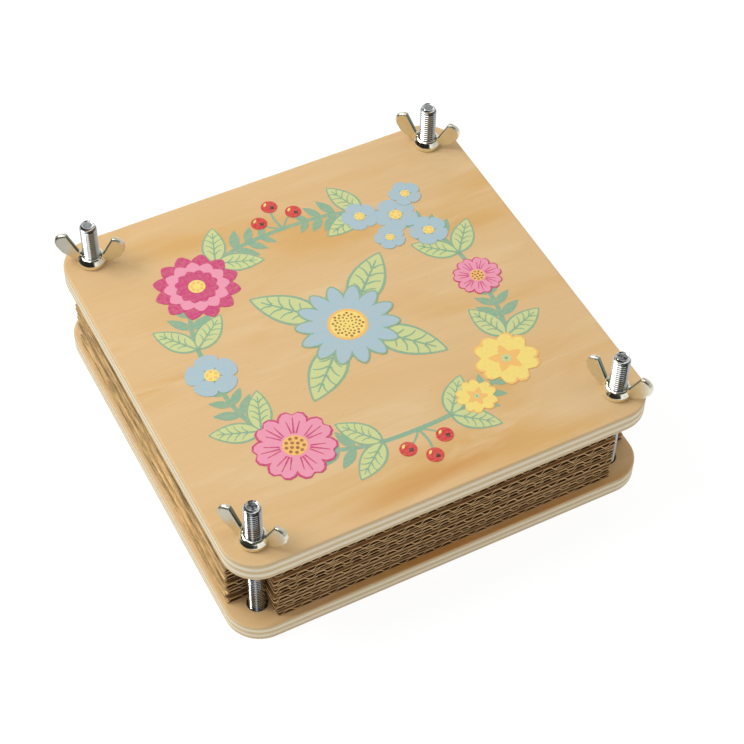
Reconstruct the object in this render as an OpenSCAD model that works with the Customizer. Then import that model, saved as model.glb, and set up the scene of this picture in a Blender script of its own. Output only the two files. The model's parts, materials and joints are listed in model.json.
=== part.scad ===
// Flower press. Two square plywood boards are drawn together by four long machine screws
// and wing nuts, and squeeze a stack of corrugated cards with blotting sheets between them.
// X runs along the front edge, Y to the back and Z up, from the middle of the underside.

/* [Boards] */
// Side of each square board
board_w = 155; // [120:1:220]
// Radius of the boards' rounded corners
board_corner_r = 12.4; // [6:0.2:20]
// Thickness of the top board
top_board_t = 7.5; // [5:0.5:10]
// Thickness of the bottom board
bottom_board_t = 6.5; // [5:0.5:10]
// Chamfer along the boards' sanded edges
board_chamfer = 0.6; // [0.2:0.1:1.5]

/* [Cards] */
// Mean thickness of a corrugated card in the stack
card_t = 2.06; // [1.6:0.02:2.5]
// How far the cards stand back from the boards' left and right edges
card_side_inset = 1.5; // [1:0.1:6]
// How far the cards stand back from the boards' front and back edges
card_front_inset = 2.5; // [2:0.1:6]
// Play between a screw and the cut-out of a card, from left to right
notch_side_gap = 0.9; // [0.8:0.1:4]
// Play between a screw and the cut-out of a card, from front to back
notch_front_gap = 1.8; // [1.7:0.1:5]
// Distance from flute to flute
flute_pitch = 6.5; // [4:0.1:9]
// Thickness of a card's flat outer papers
liner_t = 0.22; // [0.12:0.01:0.35]
// Thickness of the waved paper inside a card
flute_wall_t = 0.26; // [0.15:0.01:0.35]
// How far the cards may lie out of line with each other
card_slip = 0.5; // [0:0.05:0.5]

/* [Blotting sheets] */
// Thickness of a blotting sheet
blotter_t = 0.3; // [0.2:0.05:0.6]
// How far a blotting sheet stands back from the cards' edges
blotter_inset = 1.2; // [0.6:0.1:5]

/* [Screws] */
// Outer diameter of the screws' thread
screw_d = 6; // [5:0.1:6.5]
// Length of a screw over its flat head
screw_l = 60; // [58:1:75]
// Distance of the screws from the boards' edges
screw_inset = 10.7; // [9:0.1:16]
// Play all round a screw in the boards' holes
screw_hole_gap = 0.5; // [0.35:0.05:1]
// Diameter of a screw's countersunk head
head_d = 11.3; // [10:0.1:13]
// Straight rim of a screw's head
head_rim_t = 0.35; // [0.2:0.05:0.6]
// How far the heads lie below the underside of the bottom board
head_recess = 0.2; // [0.1:0.05:0.6]
// Reach of the cross slot in a screw's head
slot_reach = 5.6; // [4:0.1:6.5]
// Width of the cross slot in a screw's head
slot_w = 1.1; // [0.6:0.1:1.6]
// Depth of the cross slot in a screw's head
slot_depth = 2; // [1:0.1:2.4]
// Chamfer at the free end of a screw
tip_chamfer = 0.7; // [0.3:0.1:1]

/* [Wing nuts] */
// Diameter of a wing nut's foot
nut_foot_d = 10; // [9.5:0.1:13]
// Diameter of a wing nut's collar, round the screw
nut_collar_d = 8.6; // [8.2:0.1:9.2]
// Height of a wing nut's hub
nut_hub_h = 4.8; // [4:0.1:8]
// Reach across both wings
wing_span = 25.4; // [22:0.5:34]
// Height of the wings' tips above the foot
wing_h = 12.6; // [10:0.1:15]
// Thickness of a wing
wing_t = 2; // [1.4:0.1:3]
// Radius of the corners of a wing
wing_corner_r = 0.8; // [0.3:0.1:1.2]
// Play all round the thread of a screw in its wing nut
nut_fit = 0.05; // [0.02:0.01:0.1]
// Angle of the front left wing nut's wings, from X
front_left_angle = -54; // [-180:1:180]
// Angle of the front right wing nut's wings, from X
front_right_angle = -60; // [-180:1:180]
// Angle of the back left wing nut's wings, from X
back_left_angle = -32; // [-180:1:180]
// Angle of the back right wing nut's wings, from X
back_right_angle = -47; // [-180:1:180]

/* [Hidden] */
$fn = 96;
overrun = 1;

// Thickness of each card from the bottom up, as shares of the mean one: some are crushed flatter
card_t_shares = [1.05, 0.95, 0.88, 0.82, 1.12, 1.08, 1.05, 0.86, 1.15, 1.00, 1.02, 1.02];
// Where the first flute of each card falls, as shares of the pitch
flute_start_shares = [0.10, 0.62, 0.35, 0.85, 0.22, 0.55, 0.05, 0.48, 0.76, 0.30, 0.92, 0.15];
// How far each card lies out of line, as shares of the slip
slip_x_shares = [0.6, -0.3, 0.8, 0.2, -0.9, 0.5, -0.4, 0.9, -0.7, 0.3, -0.5, 0.1];
slip_y_shares = [-0.5, 0.7, -0.2, 0.9, -0.8, 0.4, -0.6, 0.2, -0.9, 1.0, 0.5, -0.3];
// Flat top of a flute, as a share of the pitch
flute_top_share = 0.20;
// Least width of the waved paper, as a share of its thickness
flute_web_share = 0.6;

card_count = len(card_t_shares);
blotter_count = card_count - 1;
card_w = board_w - 2 * card_side_inset;
card_d = board_w - 2 * card_front_inset;
// Cut-outs of the cards, in from their own edges
notch_w = screw_inset + screw_d / 2 + notch_side_gap - card_side_inset;
notch_d = screw_inset + screw_d / 2 + notch_front_gap - card_front_inset;

function sum_to(shares, n) = n == 0 ? 0 : shares[n - 1] + sum_to(shares, n - 1);
function card_z(i) = bottom_board_t + card_t * sum_to(card_t_shares, i) + i * blotter_t;
stack_top = card_z(card_count) - blotter_t;
press_h = stack_top + top_board_t;

screw_pitch_x = board_w / 2 - screw_inset;
board_hole_d = screw_d + 2 * screw_hole_gap;
nut_bore_d = screw_d + 2 * nut_fit;
bore_chamfer = (nut_collar_d - nut_bore_d) / 5;
head_cone_h = (head_d - screw_d) / 2;
dimple_d = screw_d - 3 * tip_chamfer;
dimple_depth = tip_chamfer / 2;

// Corners of the press: name, side along X, side along Y and angle of the wing nut
CORNERS = [
    ["front_left", -1, -1, front_left_angle],
    ["front_right", 1, -1, front_right_angle],
    ["back_left", -1, 1, back_left_angle],
    ["back_right", 1, 1, back_right_angle],
];

// Outline of a plate's side view: a rectangle with its four corners cut by the chamfer
function plate_outline(w, t) = [
    [0, 0], [w - board_chamfer, 0], [w, board_chamfer],
    [w, t - board_chamfer], [w - board_chamfer, t], [0, t],
];

// Square plate with round corners and chamfered edges, its underside on Z zero
module board_blank(t) {
    straight = board_w - 2 * board_corner_r;
    for (sx = [-1, 1], sy = [-1, 1])
        translate([sx * straight / 2, sy * straight / 2, 0])
            rotate_extrude() polygon(plate_outline(board_corner_r, t));
    for (a = [0, 90, 180, 270])
        rotate([0, 0, a]) translate([0, straight / 2, 0])
            rotate([90, 0, 0]) linear_extrude(straight) polygon(plate_outline(board_w / 2, t));
}

// Moves its children to one corner's screw axis
module at_corner(c) {
    translate([c[1] * screw_pitch_x, c[2] * screw_pitch_x, 0]) children();
}

module screw_holes(t) {
    for (c = CORNERS)
        at_corner(c) translate([0, 0, -overrun]) cylinder(h = t + 2 * overrun, d = board_hole_d);
}

// Countersink for a head: its own cone, wider by the play round the screw
module head_seat() {
    seat_r = head_d / 2 + nut_fit;
    rotate_extrude() polygon([
        [0, -overrun], [seat_r, -overrun], [seat_r, head_recess + head_rim_t],
        [0, head_recess + head_rim_t + seat_r],
    ]);
}

module bottom_board() {
    color("#d9b47c") difference() {
        board_blank(bottom_board_t);
        screw_holes(bottom_board_t);
        for (c = CORNERS) at_corner(c) head_seat();
    }
}

module top_board() {
    color("#e3c290") translate([0, 0, stack_top]) difference() {
        board_blank(top_board_t);
        screw_holes(top_board_t);
    }
}

// One opening of the corrugation, wide at its foot: the air under a flute
module flute_opening(t) {
    top_w = flute_pitch * flute_top_share;
    foot_w = flute_pitch - top_w - 2 * flute_wall_t * flute_web_share;
    foot_z = liner_t;
    top_z = t - liner_t - flute_wall_t;
    polygon([[-foot_w / 2, foot_z], [foot_w / 2, foot_z], [top_w / 2, top_z], [-top_w / 2, top_z]]);
}

// End view of a card: openings that stand and hang by turns between the two liners
module card_section(t, start_share) {
    flute_count = ceil(card_w / flute_pitch) + 1;
    difference() {
        translate([-card_w / 2, 0]) square([card_w, t]);
        for (k = [-1 : flute_count])
            translate([(k + start_share) * flute_pitch - card_w / 2, 0]) {
                flute_opening(t);
                translate([flute_pitch / 2, t]) mirror([0, 1]) flute_opening(t);
            }
    }
}

// The four cut-outs that let the screws pass a sheet
module corner_notches(t, inset) {
    for (sx = [-1, 1], sy = [-1, 1])
        translate([sx * card_w / 2, sy * card_d / 2, t / 2])
            cube([2 * (notch_w + inset), 2 * (notch_d + inset), t + 2 * overrun], center = true);
}

module card(i) {
    t = card_t * card_t_shares[i];
    color(i % 2 == 0 ? "#a98a63" : "#9d7f59")
        translate([slip_x_shares[i] * card_slip, slip_y_shares[i] * card_slip, card_z(i)])
            difference() {
                translate([0, card_d / 2, 0]) rotate([90, 0, 0])
                    linear_extrude(card_d) card_section(t, flute_start_shares[i]);
                corner_notches(t, 0);
            }
}

module blotting_sheet(i) {
    color("#e9e3d2") translate([0, 0, card_z(i + 1) - blotter_t]) difference() {
        translate([blotter_inset - card_w / 2, blotter_inset - card_d / 2, 0])
            cube([card_w - 2 * blotter_inset, card_d - 2 * blotter_inset, blotter_t]);
        corner_notches(blotter_t, blotter_inset);
    }
}

// Countersunk machine screw standing on its head, with a chamfered and dimpled end
module screw(c) {
    r = screw_d / 2;
    color("#b9bcbd") at_corner(c) translate([0, 0, head_recess]) difference() {
        rotate_extrude() polygon([
            [0, 0], [head_d / 2, 0], [head_d / 2, head_rim_t], [r, head_rim_t + head_cone_h],
            [r, screw_l - tip_chamfer], [r - tip_chamfer, screw_l],
            [dimple_d / 2, screw_l], [0, screw_l - dimple_depth],
        ]);
        for (a = [0, 90])
            rotate([0, 0, a]) translate([-slot_reach / 2, -slot_w / 2, -overrun])
                cube([slot_reach, slot_w, slot_depth + overrun]);
    }
}

// Points of an outline with each corner replaced by a short arc of radius r
function rounded(points, r, steps = 4) = [
    for (k = [0 : len(points) - 1])
        let (
            here = points[k],
            before = points[(k + len(points) - 1) % len(points)],
            after = points[(k + 1) % len(points)],
            u = (before - here) / norm(before - here),
            v = (after - here) / norm(after - here),
            half = acos(u * v) / 2,
            middle = here + (u + v) / norm(u + v) * r / sin(half),
            cut_u = here + u * r / tan(half) - middle,
            cut_v = here + v * r / tan(half) - middle
        )
        for (s = [0 : steps])
            let (mix = cut_u * (1 - s / steps) + cut_v * s / steps)
            middle + mix / norm(mix) * r
];

// Side view of one wing, from inside the hub out to the flat end that slopes down and outwards
WING_REACH_SHARES = [0.28, 0.50, 0.80, 0.97, 1.00, 0.64, 0.34, 0.28];
WING_HEIGHT_SHARES = [0.06, 0.10, 0.30, 0.58, 0.80, 1.00, 0.38, 0.34];

module wing() {
    reach = wing_span / 2;
    outline = [
        for (k = [0 : len(WING_REACH_SHARES) - 1])
            [WING_REACH_SHARES[k] * reach, WING_HEIGHT_SHARES[k] * wing_h]
    ];
    translate([0, wing_t / 2, 0]) rotate([90, 0, 0]) linear_extrude(wing_t)
        polygon(rounded(outline, wing_corner_r));
}

// Forged wing nut: a hub that narrows upwards, and two wings that rise and spread
module wing_nut(c) {
    foot_r = nut_foot_d / 2;
    collar_r = nut_collar_d / 2;
    bore_r = nut_bore_d / 2;
    color("#c6c9c8") at_corner(c) translate([0, 0, press_h]) rotate([0, 0, c[3]]) difference() {
        union() {
            rotate_extrude() polygon([
                [0, 0], [foot_r - bore_chamfer / 2, 0], [foot_r, bore_chamfer / 2],
                [foot_r, bore_chamfer * 2], [collar_r, nut_hub_h - bore_chamfer],
                [collar_r - bore_chamfer / 2, nut_hub_h], [0, nut_hub_h],
            ]);
            for (a = [0, 180]) rotate([0, 0, a]) wing();
        }
        translate([0, 0, -overrun]) cylinder(h = nut_hub_h + 2 * overrun, d = nut_bore_d);
        translate([0, 0, nut_hub_h - bore_chamfer])
            cylinder(h = bore_chamfer, r1 = bore_r, r2 = bore_r + bore_chamfer);
    }
}

bottom_board();
top_board();
for (i = [0 : card_count - 1])
    card(i);
for (i = [0 : blotter_count - 1])
    blotting_sheet(i);
for (c = CORNERS)
    screw(c);
for (c = CORNERS)
    wing_nut(c);
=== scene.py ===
"""Flower press: the finished look of its boards, cards, screws, wing nuts and printed design."""

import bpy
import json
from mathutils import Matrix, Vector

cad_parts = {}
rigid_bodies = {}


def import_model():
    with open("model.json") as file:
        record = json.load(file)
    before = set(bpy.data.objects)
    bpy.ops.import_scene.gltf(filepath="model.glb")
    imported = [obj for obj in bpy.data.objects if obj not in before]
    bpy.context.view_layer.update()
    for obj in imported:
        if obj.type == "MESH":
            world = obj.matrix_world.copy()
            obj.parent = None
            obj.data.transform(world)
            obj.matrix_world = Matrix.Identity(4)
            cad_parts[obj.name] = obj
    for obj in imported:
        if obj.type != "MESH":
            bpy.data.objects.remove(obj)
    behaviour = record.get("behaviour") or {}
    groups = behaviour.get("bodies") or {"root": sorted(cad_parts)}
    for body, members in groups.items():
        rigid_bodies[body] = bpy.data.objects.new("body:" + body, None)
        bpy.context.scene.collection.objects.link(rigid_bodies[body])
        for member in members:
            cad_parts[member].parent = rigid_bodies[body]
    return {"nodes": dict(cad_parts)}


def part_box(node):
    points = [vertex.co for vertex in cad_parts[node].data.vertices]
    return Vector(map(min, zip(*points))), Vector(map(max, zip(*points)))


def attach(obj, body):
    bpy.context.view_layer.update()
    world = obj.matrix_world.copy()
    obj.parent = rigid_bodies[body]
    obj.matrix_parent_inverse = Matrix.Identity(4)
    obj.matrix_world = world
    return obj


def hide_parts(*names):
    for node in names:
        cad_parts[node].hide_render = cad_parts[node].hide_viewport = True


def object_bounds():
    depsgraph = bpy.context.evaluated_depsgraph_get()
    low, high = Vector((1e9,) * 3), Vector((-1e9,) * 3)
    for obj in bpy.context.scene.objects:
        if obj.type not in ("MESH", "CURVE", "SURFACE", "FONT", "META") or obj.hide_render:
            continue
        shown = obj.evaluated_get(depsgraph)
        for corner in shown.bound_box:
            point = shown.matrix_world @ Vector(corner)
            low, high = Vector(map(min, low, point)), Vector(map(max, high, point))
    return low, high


bl_info = {
    "name": "Flower Press",
    "version": (1, 0, 0),
    "blender": (4, 5, 0),
    "location": "View3D > Sidebar > Flower Press",
    "description": "Builds the visible pieces of a flower press around its packed frame",
    "category": "Add Mesh",
}

import json
import math
import random

import bmesh
import bpy
from bpy.props import FloatProperty, FloatVectorProperty, IntProperty, PointerProperty
from mathutils import Matrix, Vector, noise
from mathutils.geometry import tessellate_polygon

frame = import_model()
CAD_BOX = [list(corner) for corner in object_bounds()]

MM = 0.001
CORNERS = ("front_left", "front_right", "back_left", "back_right")
CARD_COUNT = sum(1 for node in frame["nodes"] if node.startswith("card_"))
ORIGIN = Vector((0.0, 0.0))
WHITE = (1.0, 1.0, 1.0)


def linear(hex_code):
    """Linear RGB of an sRGB hex colour."""
    channels = [int(hex_code[k:k + 2], 16) / 255 for k in (0, 2, 4)]
    return [c / 12.92 if c <= 0.04045 else ((c + 0.055) / 1.055) ** 2.4 for c in channels]


def on_circle(radius, turn):
    """The point at an angle on a circle round the origin."""
    return radius * math.cos(turn), radius * math.sin(turn)


def centre_of(node):
    """Middle of a frame node's box."""
    low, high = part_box(node)
    return (low + high) / 2


def span_of(node):
    """Size of a frame node's box."""
    low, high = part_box(node)
    return high - low


# Settings a user would change

def length(name, description, millimetres):
    """A length property that holds metres and is written here in millimetres."""
    return FloatProperty(
        name=name, description=description, default=millimetres * MM, unit="LENGTH", subtype="DISTANCE",
        precision=5,
    )


def share(name, description, value):
    """A property between none and all."""
    return FloatProperty(
        name=name, description=description, default=value, min=0.0, max=1.0, subtype="FACTOR"
    )


def colour(name, description, hex_code):
    """A colour property, written here as an sRGB hex value."""
    return FloatVectorProperty(
        name=name, description=description, default=linear(hex_code), size=3, min=0.0, max=1.0,
        subtype="COLOR",
    )


class PressBoardSettings(bpy.types.PropertyGroup):
    """Plywood boards."""

    corner_radius: length("Corner radius", "Radius of the boards' corners seen from above", 12.4)
    arris_radius: length("Arris radius", "Rounding that sanding leaves along every edge", 0.6)
    hole_diameter: length("Hole", "Diameter of the holes for the screws", 7.0)
    ply_count: IntProperty(name="Plies", description="Veneers in each board", default=5, min=3, max=9)
    glue_dip: length("Glue dip", "How far sanding sinks the softer cross plies", 0.04)
    face: colour("Face veneer", "Main colour of the face veneer", "E2BD88")
    face_deep: colour("Deep grain", "Deeper, warmer patches of the face veneer", "DDAF6C")
    # The pale and orange tints are wood grain on the top board and in the pale streaks; on the bottom board
    # they also serve as a painted highlight on the lit left ledge and a painted shade before the stack
    pale_grain_and_painted_light: colour("Pale grain", "Pale streaks of the face veneer", "E9CA9C")
    orange_grain_and_painted_shade: colour("Orange grain", "Single streaks of resin-coloured wood", "D2964C")
    face_speck: colour("Specks", "Small dark pores of the face veneer", "B98C55")
    ply_light: colour("Light ply", "Colour of the cross plies in the edge", "E6DBC0")
    ply_dark: colour("Dark ply", "Colour of the long plies in the edge", "D0B88C")


class PressCardSettings(bpy.types.PropertyGroup):
    """Corrugated cards."""

    flute_pitch: length("Flute pitch", "Distance from one flute to the next", 6.5)
    liner_thickness: length("Liner", "Thickness of the flat papers", 0.36)
    flute_thickness: length("Waved paper", "Thickness of the paper between the liners", 0.36)
    edge_flare: length("Edge flare", "How far the liners spread apart at a cut edge", 0.145)
    crush: share("Crush", "How unevenly the flutes are pressed", 0.14)
    edge_wander: length("Edge wander", "How far the cut edges run out of line", 0.05)
    corner_wear: length("Corner wear", "Radius of the worn corners at the cut-outs", 0.3)
    stack_shift: length("Stack shift", "How far the stack sits to the left of the middle", 0.1)
    stack_back: length("Stack back", "How far the stack sits behind the middle", 0.4)
    loose_shift: length("Loose shift", "How far a card slips out of line with the others", 0.05)
    top_set_back: length("Top set-back", "How far the two uppermost cards are pushed back", 1.3)
    kraft: colour("Kraft paper", "Main colour of the paper", "9C7850")
    kraft_dark: colour("Dark fibres", "Darker fibres and stains", "735431")
    # Painted shade: the paper inside the flutes takes this darker colour in place of the shade that falls
    # there
    flute_painted_shade: colour("Flute shade", "Colour of the paper inside the flutes", "5C3A1C")
    cut_edge: colour("Cut edge", "Paler fibres where the paper is cut", "C6A576")
    # Painted light: the sides of the stack take this paler paper, paler than the paper at the front, in place
    # of the lamp's light on them
    side_painted_light: colour("Rubbed side", "Paper of the pressed sides, rubbed to fibres", "D0AF7A")


class PressSheetSettings(bpy.types.PropertyGroup):
    """Blotting sheets."""

    paper: colour("Blotting paper", "Colour of the sheets", "E4DAC2")


class PressScrewSettings(bpy.types.PropertyGroup):
    """Machine screws."""

    diameter: length("Thread", "Outer diameter of the thread", 6.0)
    pitch: length("Pitch", "Rise of the thread in one turn", 1.0)
    thread_depth: length("Thread depth", "Height of the thread's ridge above its root", 0.56)
    point_diameter: length("Point", "Diameter of the highest ring of the free end, round its dimple", 4.2)
    point_dent: length("Dent", "Depth of the rough dimple that rolling leaves in the free end", 0.34)
    head_rim: length("Head rim", "Upright rim of the countersunk head", 0.35)
    slot_reach: length("Slot length", "Length of the cross slot in the head", 5.6)
    slot_width: length("Slot width", "Width of the cross slot in the head", 1.1)
    slot_depth: length("Slot depth", "Depth of the cross slot in the head", 2.0)
    metal: colour("Zinc", "Colour of the plated steel", "E2E5E4")
    # Painted shade: the thread's roots and the dimple in the free end take this dark colour
    painted_shade_colour: colour("Tarnish", "Colour of the thread's grooves and the rough ends", "3F4543")


class PressNutSettings(bpy.types.PropertyGroup):
    """Wing nuts."""

    foot_diameter: length("Foot", "Diameter of the foot", 10.0)
    foot_height: length("Foot height", "Height of the foot's upright side", 1.6)
    collar_diameter: length("Collar", "Diameter at the top of the hub's cone", 8.3)
    hub_height: length("Hub height", "Height of the hub", 3.8)
    bore_diameter: length("Bore", "Diameter of the threaded bore", 6.1)
    span: length("Span", "Reach across both wings", 25.4)
    wing_height: length("Wing height", "Height of the wings' tips above the foot", 12.6)
    wing_thickness: length("Wing thickness", "Thickness of a wing", 2.0)
    grain: length("Sculpting grain", "Size of the cells in which the forging is blended", 0.16)
    metal: colour("Zinc", "Colour of the plated forging", "F8F5E2")
    # Painted shade: the wings' inner edges, which look towards the screw, take this dark colour
    painted_shade_colour: colour("Tarnish", "Colour of the wings' inner edges", "66756A")


class PressPrintSettings(bpy.types.PropertyGroup):
    """Screen-printed wreath on the top board."""

    wreath_reach: length("Wreath reach", "Half the width of the wreath's stem", 51.0)
    stem_width: length("Stem", "Width of the wreath's stem", 1.7)
    ink_thickness: length("Ink", "Thickness of one coat of ink", 0.03)
    sage_green: colour("Sage green", "Ink of stems and outlines", "89B496")
    leaf_green: colour("Leaf green", "Ink of the large leaves", "CFDA98")
    pale_blue: colour("Pale blue", "Ink of the blue flowers", "A9C7D3")
    yellow: colour("Yellow", "Ink of yellow petals", "FBE27C")
    light_orange: colour("Light orange", "Ink of orange petals", "FAC36E")
    pink: colour("Pink", "Ink of pink petals", "F29AB8")
    magenta: colour("Magenta", "Ink of deep pink petals", "D0407D")
    brown: colour("Brown", "Ink of seeds", "AA6C42")
    red: colour("Red", "Ink of berries", "D8343F")
    black: colour("Black", "Ink of the smallest marks", "35302E")


class PressStageSettings(bpy.types.PropertyGroup):
    """Camera, lamp, floor and surroundings."""

    camera_place: FloatVectorProperty(
        name="Camera", description="Place of the camera", default=(-0.2035, -0.3971, 0.5514),
        size=3, unit="LENGTH", subtype="TRANSLATION",
    )
    focal_length: FloatProperty(
        name="Focal length", description="Focal length on a sensor 36 mm wide", default=95.56,
        min=1.0, subtype="DISTANCE_CAMERA", unit="CAMERA",
    )
    sky_level: FloatProperty(
        name="Sky level", description="Light from all round", default=0.66, min=0.0
    )
    key_power: FloatProperty(
        name="Key light", description="Power of the large lamp at the back left", default=7.0,
        min=0.0, subtype="POWER", unit="POWER",
    )
    floor: colour("Floor", "Colour of the floor", "F2F2F2")
    floor_fill: FloatProperty(
        name="Floor fill", description="Light from the floor on the object's sides", default=0.33, min=0.0
    )
    shadow: share("Shadow", "How much of the object's shadow the camera sees on the floor", 0.2)


SETTINGS = {
    "press_boards": PressBoardSettings,
    "press_cards": PressCardSettings,
    "press_sheets": PressSheetSettings,
    "press_screws": PressScrewSettings,
    "press_nuts": PressNutSettings,
    "press_print": PressPrintSettings,
    "press_stage": PressStageSettings,
}


# Shared tools

def add_node(tree, kind, inputs=None, **settings):
    """Add a node and set its properties. An input takes a value, a colour, a node, a socket or a list."""
    node = tree.nodes.new(kind)
    for name, value in settings.items():
        setattr(node, name, value)
    for key, given in (inputs or {}).items():
        if isinstance(key, int):
            socket = node.inputs[key]
        else:
            socket = next(s for s in node.inputs if s.enabled and s.name == key)
        for value in given if isinstance(given, list) else [given]:
            if isinstance(value, bpy.types.Node):
                value = next(s for s in value.outputs if s.enabled)
            if isinstance(value, bpy.types.NodeSocket):
                tree.links.new(value, socket)
            elif socket.type == "RGBA":
                socket.default_value = (*value[:3], 1.0)
            else:
                socket.default_value = value
    return node


def new_material(name):
    """An empty node material, its tree, and the Object coordinates in that tree."""
    material = bpy.data.materials.new(name)
    material.use_nodes = True
    material.node_tree.nodes.clear()
    place = add_node(material.node_tree, "ShaderNodeTexCoord").outputs["Object"]
    return material, material.node_tree, place


def stretched_noise(tree, place, features, detail=2.0, roughness=0.5, distortion=0.0, turn=0.0):
    """Noise with a number of features per metre on each axis, turned about the vertical."""
    space = add_node(
        tree, "ShaderNodeMapping", {"Vector": place, "Rotation": (0.0, 0.0, turn), "Scale": features}
    )
    noise_node = add_node(
        tree, "ShaderNodeTexNoise",
        {
            "Vector": space, "Scale": 1.0, "Detail": detail, "Roughness": roughness,
            "Distortion": distortion,
        },
    )
    return noise_node.outputs[0]


def lay_over(tree, under, over, value, begins, full, strength=1.0, smooth=False):
    """A colour over another one where a value runs from begins to full."""
    cover = add_node(
        tree, "ShaderNodeMapRange",
        {"Value": value, "From Min": begins, "From Max": full, "To Max": strength},
        interpolation_type="SMOOTHSTEP" if smooth else "LINEAR",
    )
    return add_node(tree, "ShaderNodeMix", {"Factor": cover, "A": under, "B": over}, data_type="RGBA")


def tone(tree, under, value, begins, full, dark, light):
    """A colour multiplied by dark to light as a value runs from begins to full."""
    level = add_node(
        tree, "ShaderNodeMapRange",
        {"Value": value, "From Min": begins, "From Max": full, "To Min": dark, "To Max": light},
    )
    return add_node(
        tree, "ShaderNodeMix", {"Factor": 1.0, "A": under, "B": level}, data_type="RGBA",
        blend_type="MULTIPLY",
    )


def finish_surface(tree, base, relief, strength, depth, finish):
    """End a material's tree: its colour, a relief of a depth, and the settings of its finish."""
    bump = add_node(tree, "ShaderNodeBump", {"Height": relief, "Strength": strength, "Distance": depth})
    surface = add_node(tree, "ShaderNodeBsdfPrincipled", {"Base Color": base, "Normal": bump} | finish)
    add_node(tree, "ShaderNodeOutputMaterial", {"Surface": surface})


def mesh_piece(name, vertices, faces, material=None):
    """A mesh object with its place in its mesh."""
    mesh = bpy.data.meshes.new(name)
    mesh.from_pydata([tuple(v) for v in vertices], [], faces)
    mesh.validate()
    piece = bpy.data.objects.new(name, mesh)
    bpy.context.scene.collection.objects.link(piece)
    if material:
        mesh.materials.append(material)
    return piece


def face_outwards(mesh):
    """Merge doubles and turn every face to the outside."""
    shell = bmesh.new()
    shell.from_mesh(mesh)
    bmesh.ops.remove_doubles(shell, verts=shell.verts, dist=1e-7)
    bmesh.ops.recalc_face_normals(shell, faces=shell.faces)
    shell.to_mesh(mesh)
    shell.free()


def smooth_by_angle(mesh, degrees):
    """Shade smooth, but keep the edges sharper than an angle."""
    mesh.shade_smooth()
    mesh.set_sharp_from_angle(angle=math.radians(degrees))


def bake_modifiers(piece):
    """Replace a piece's mesh by its evaluated one and drop its modifiers."""
    bpy.context.view_layer.update()
    depsgraph = bpy.context.evaluated_depsgraph_get()
    evaluated = piece.evaluated_get(depsgraph)
    mesh = bpy.data.meshes.new_from_object(evaluated, depsgraph=depsgraph)
    old = piece.data
    piece.modifiers.clear()
    piece.data = mesh
    mesh.name = piece.name
    if isinstance(old, bpy.types.Mesh):
        bpy.data.meshes.remove(old)
    return piece


def run_nodes(piece, tree, **values):
    """Run a Geometry Nodes tree on a piece with its inputs set, and keep the result as a plain mesh."""
    modifier = piece.modifiers.new(tree.name, "NODES")
    modifier.node_group = tree
    sockets = {s.name: s.identifier for s in tree.interface.items_tree if s.in_out == "INPUT"}
    for name, value in values.items():
        modifier[sockets[name.replace("_", " ").capitalize()]] = value
    return bake_modifiers(piece)


def new_geometry_tree(name, labels, kind="NodeSocketFloat"):
    """A Geometry Nodes tree with named inputs of one kind: returns it with the sockets of its inputs."""
    tree = bpy.data.node_groups.new(name, "GeometryNodeTree")
    tree.interface.new_socket("Geometry", in_out="INPUT", socket_type="NodeSocketGeometry")
    for label in labels:
        tree.interface.new_socket(label, in_out="INPUT", socket_type=kind)
    tree.interface.new_socket("Geometry", in_out="OUTPUT", socket_type="NodeSocketGeometry")
    return tree, add_node(tree, "NodeGroupInput").outputs


def end_geometry_tree(tree, geometry, material):
    """End a Geometry Nodes tree with real meshes and their material."""
    real = add_node(tree, "GeometryNodeRealizeInstances", {"Geometry": geometry})
    done = add_node(tree, "GeometryNodeSetMaterial", {"Geometry": real, "Material": material})
    add_node(tree, "NodeGroupOutput", {"Geometry": done})


def mark_points(mesh, name, values, kind="FLOAT"):
    """Give each point of a mesh a value that nodes can read."""
    mesh.attributes.new(name, kind, "POINT").data.foreach_set("value", values)


def hand_over(piece, body, slot, *replaced):
    """Let a finished piece ride on its body and stand for its frame nodes, which are hidden; slot is not
    used.
    """
    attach(piece, body)
    if replaced:
        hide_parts(*replaced)


def screw_axis(corner):
    """Where the axis of a corner's screw meets the ground plane."""
    middle = centre_of("screw_" + corner)
    return Vector((middle.x, middle.y, 0.0))


# Plywood boards

def rounded_square(half, radius, straight_steps=24, corner_steps=12):
    """Outline of a square with round corners, anticlockwise."""
    points = []
    for quarter in range(4):
        turn = Matrix.Rotation(quarter * math.pi / 2, 2)
        centre = Vector((half - radius, half - radius))
        for k in range(corner_steps + 1):
            points.append(turn @ (centre + Vector(on_circle(radius, math.pi / 2 * k / corner_steps))))
        for k in range(1, straight_steps):
            x = (half - radius) * (1 - 2 * k / straight_steps)
            points.append(turn @ Vector((x, half)))
    return points


def circle_outline(centre, radius, steps=48):
    """Outline of a circle, anticlockwise."""
    return [centre.xy + Vector(on_circle(radius, 2 * math.pi * k / steps)) for k in range(steps)]


def arris(radius, steps=5):
    """Inset and rise of a quarter-round edge, from the face to the upright side."""
    return [
        (radius * (1 - math.sin(math.pi / 2 * k / steps)), radius * (1 - math.cos(math.pi / 2 * k / steps)))
        for k in range(steps + 1)
    ]


def edge_profile(thickness, radius, plies, dip):
    """Inset and height of a board's edge from the underside up: small arris, sunk cross plies, full arris."""
    lower = arris(radius / 2)
    upper = [(inset, thickness - rise) for inset, rise in reversed(arris(radius))]
    wall = []
    for ply in range(1, plies - 1):
        low = thickness * ply / plies
        high = thickness * (ply + 1) / plies
        soft = min(0.15 * MM, (high - low) / 4)
        if ply % 2:
            wall += [(0.0, low), (dip, low + soft), (dip, high - soft), (0.0, high)]
    return lower + wall + upper


def stitch_rings(faces, first, second, count, flip=False):
    """Quads between two rings of the same number of points."""
    for k in range(count):
        n = (k + 1) % count
        quad = (first + k, first + n, second + n, second + k)
        faces.append(quad[::-1] if flip else quad)


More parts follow.
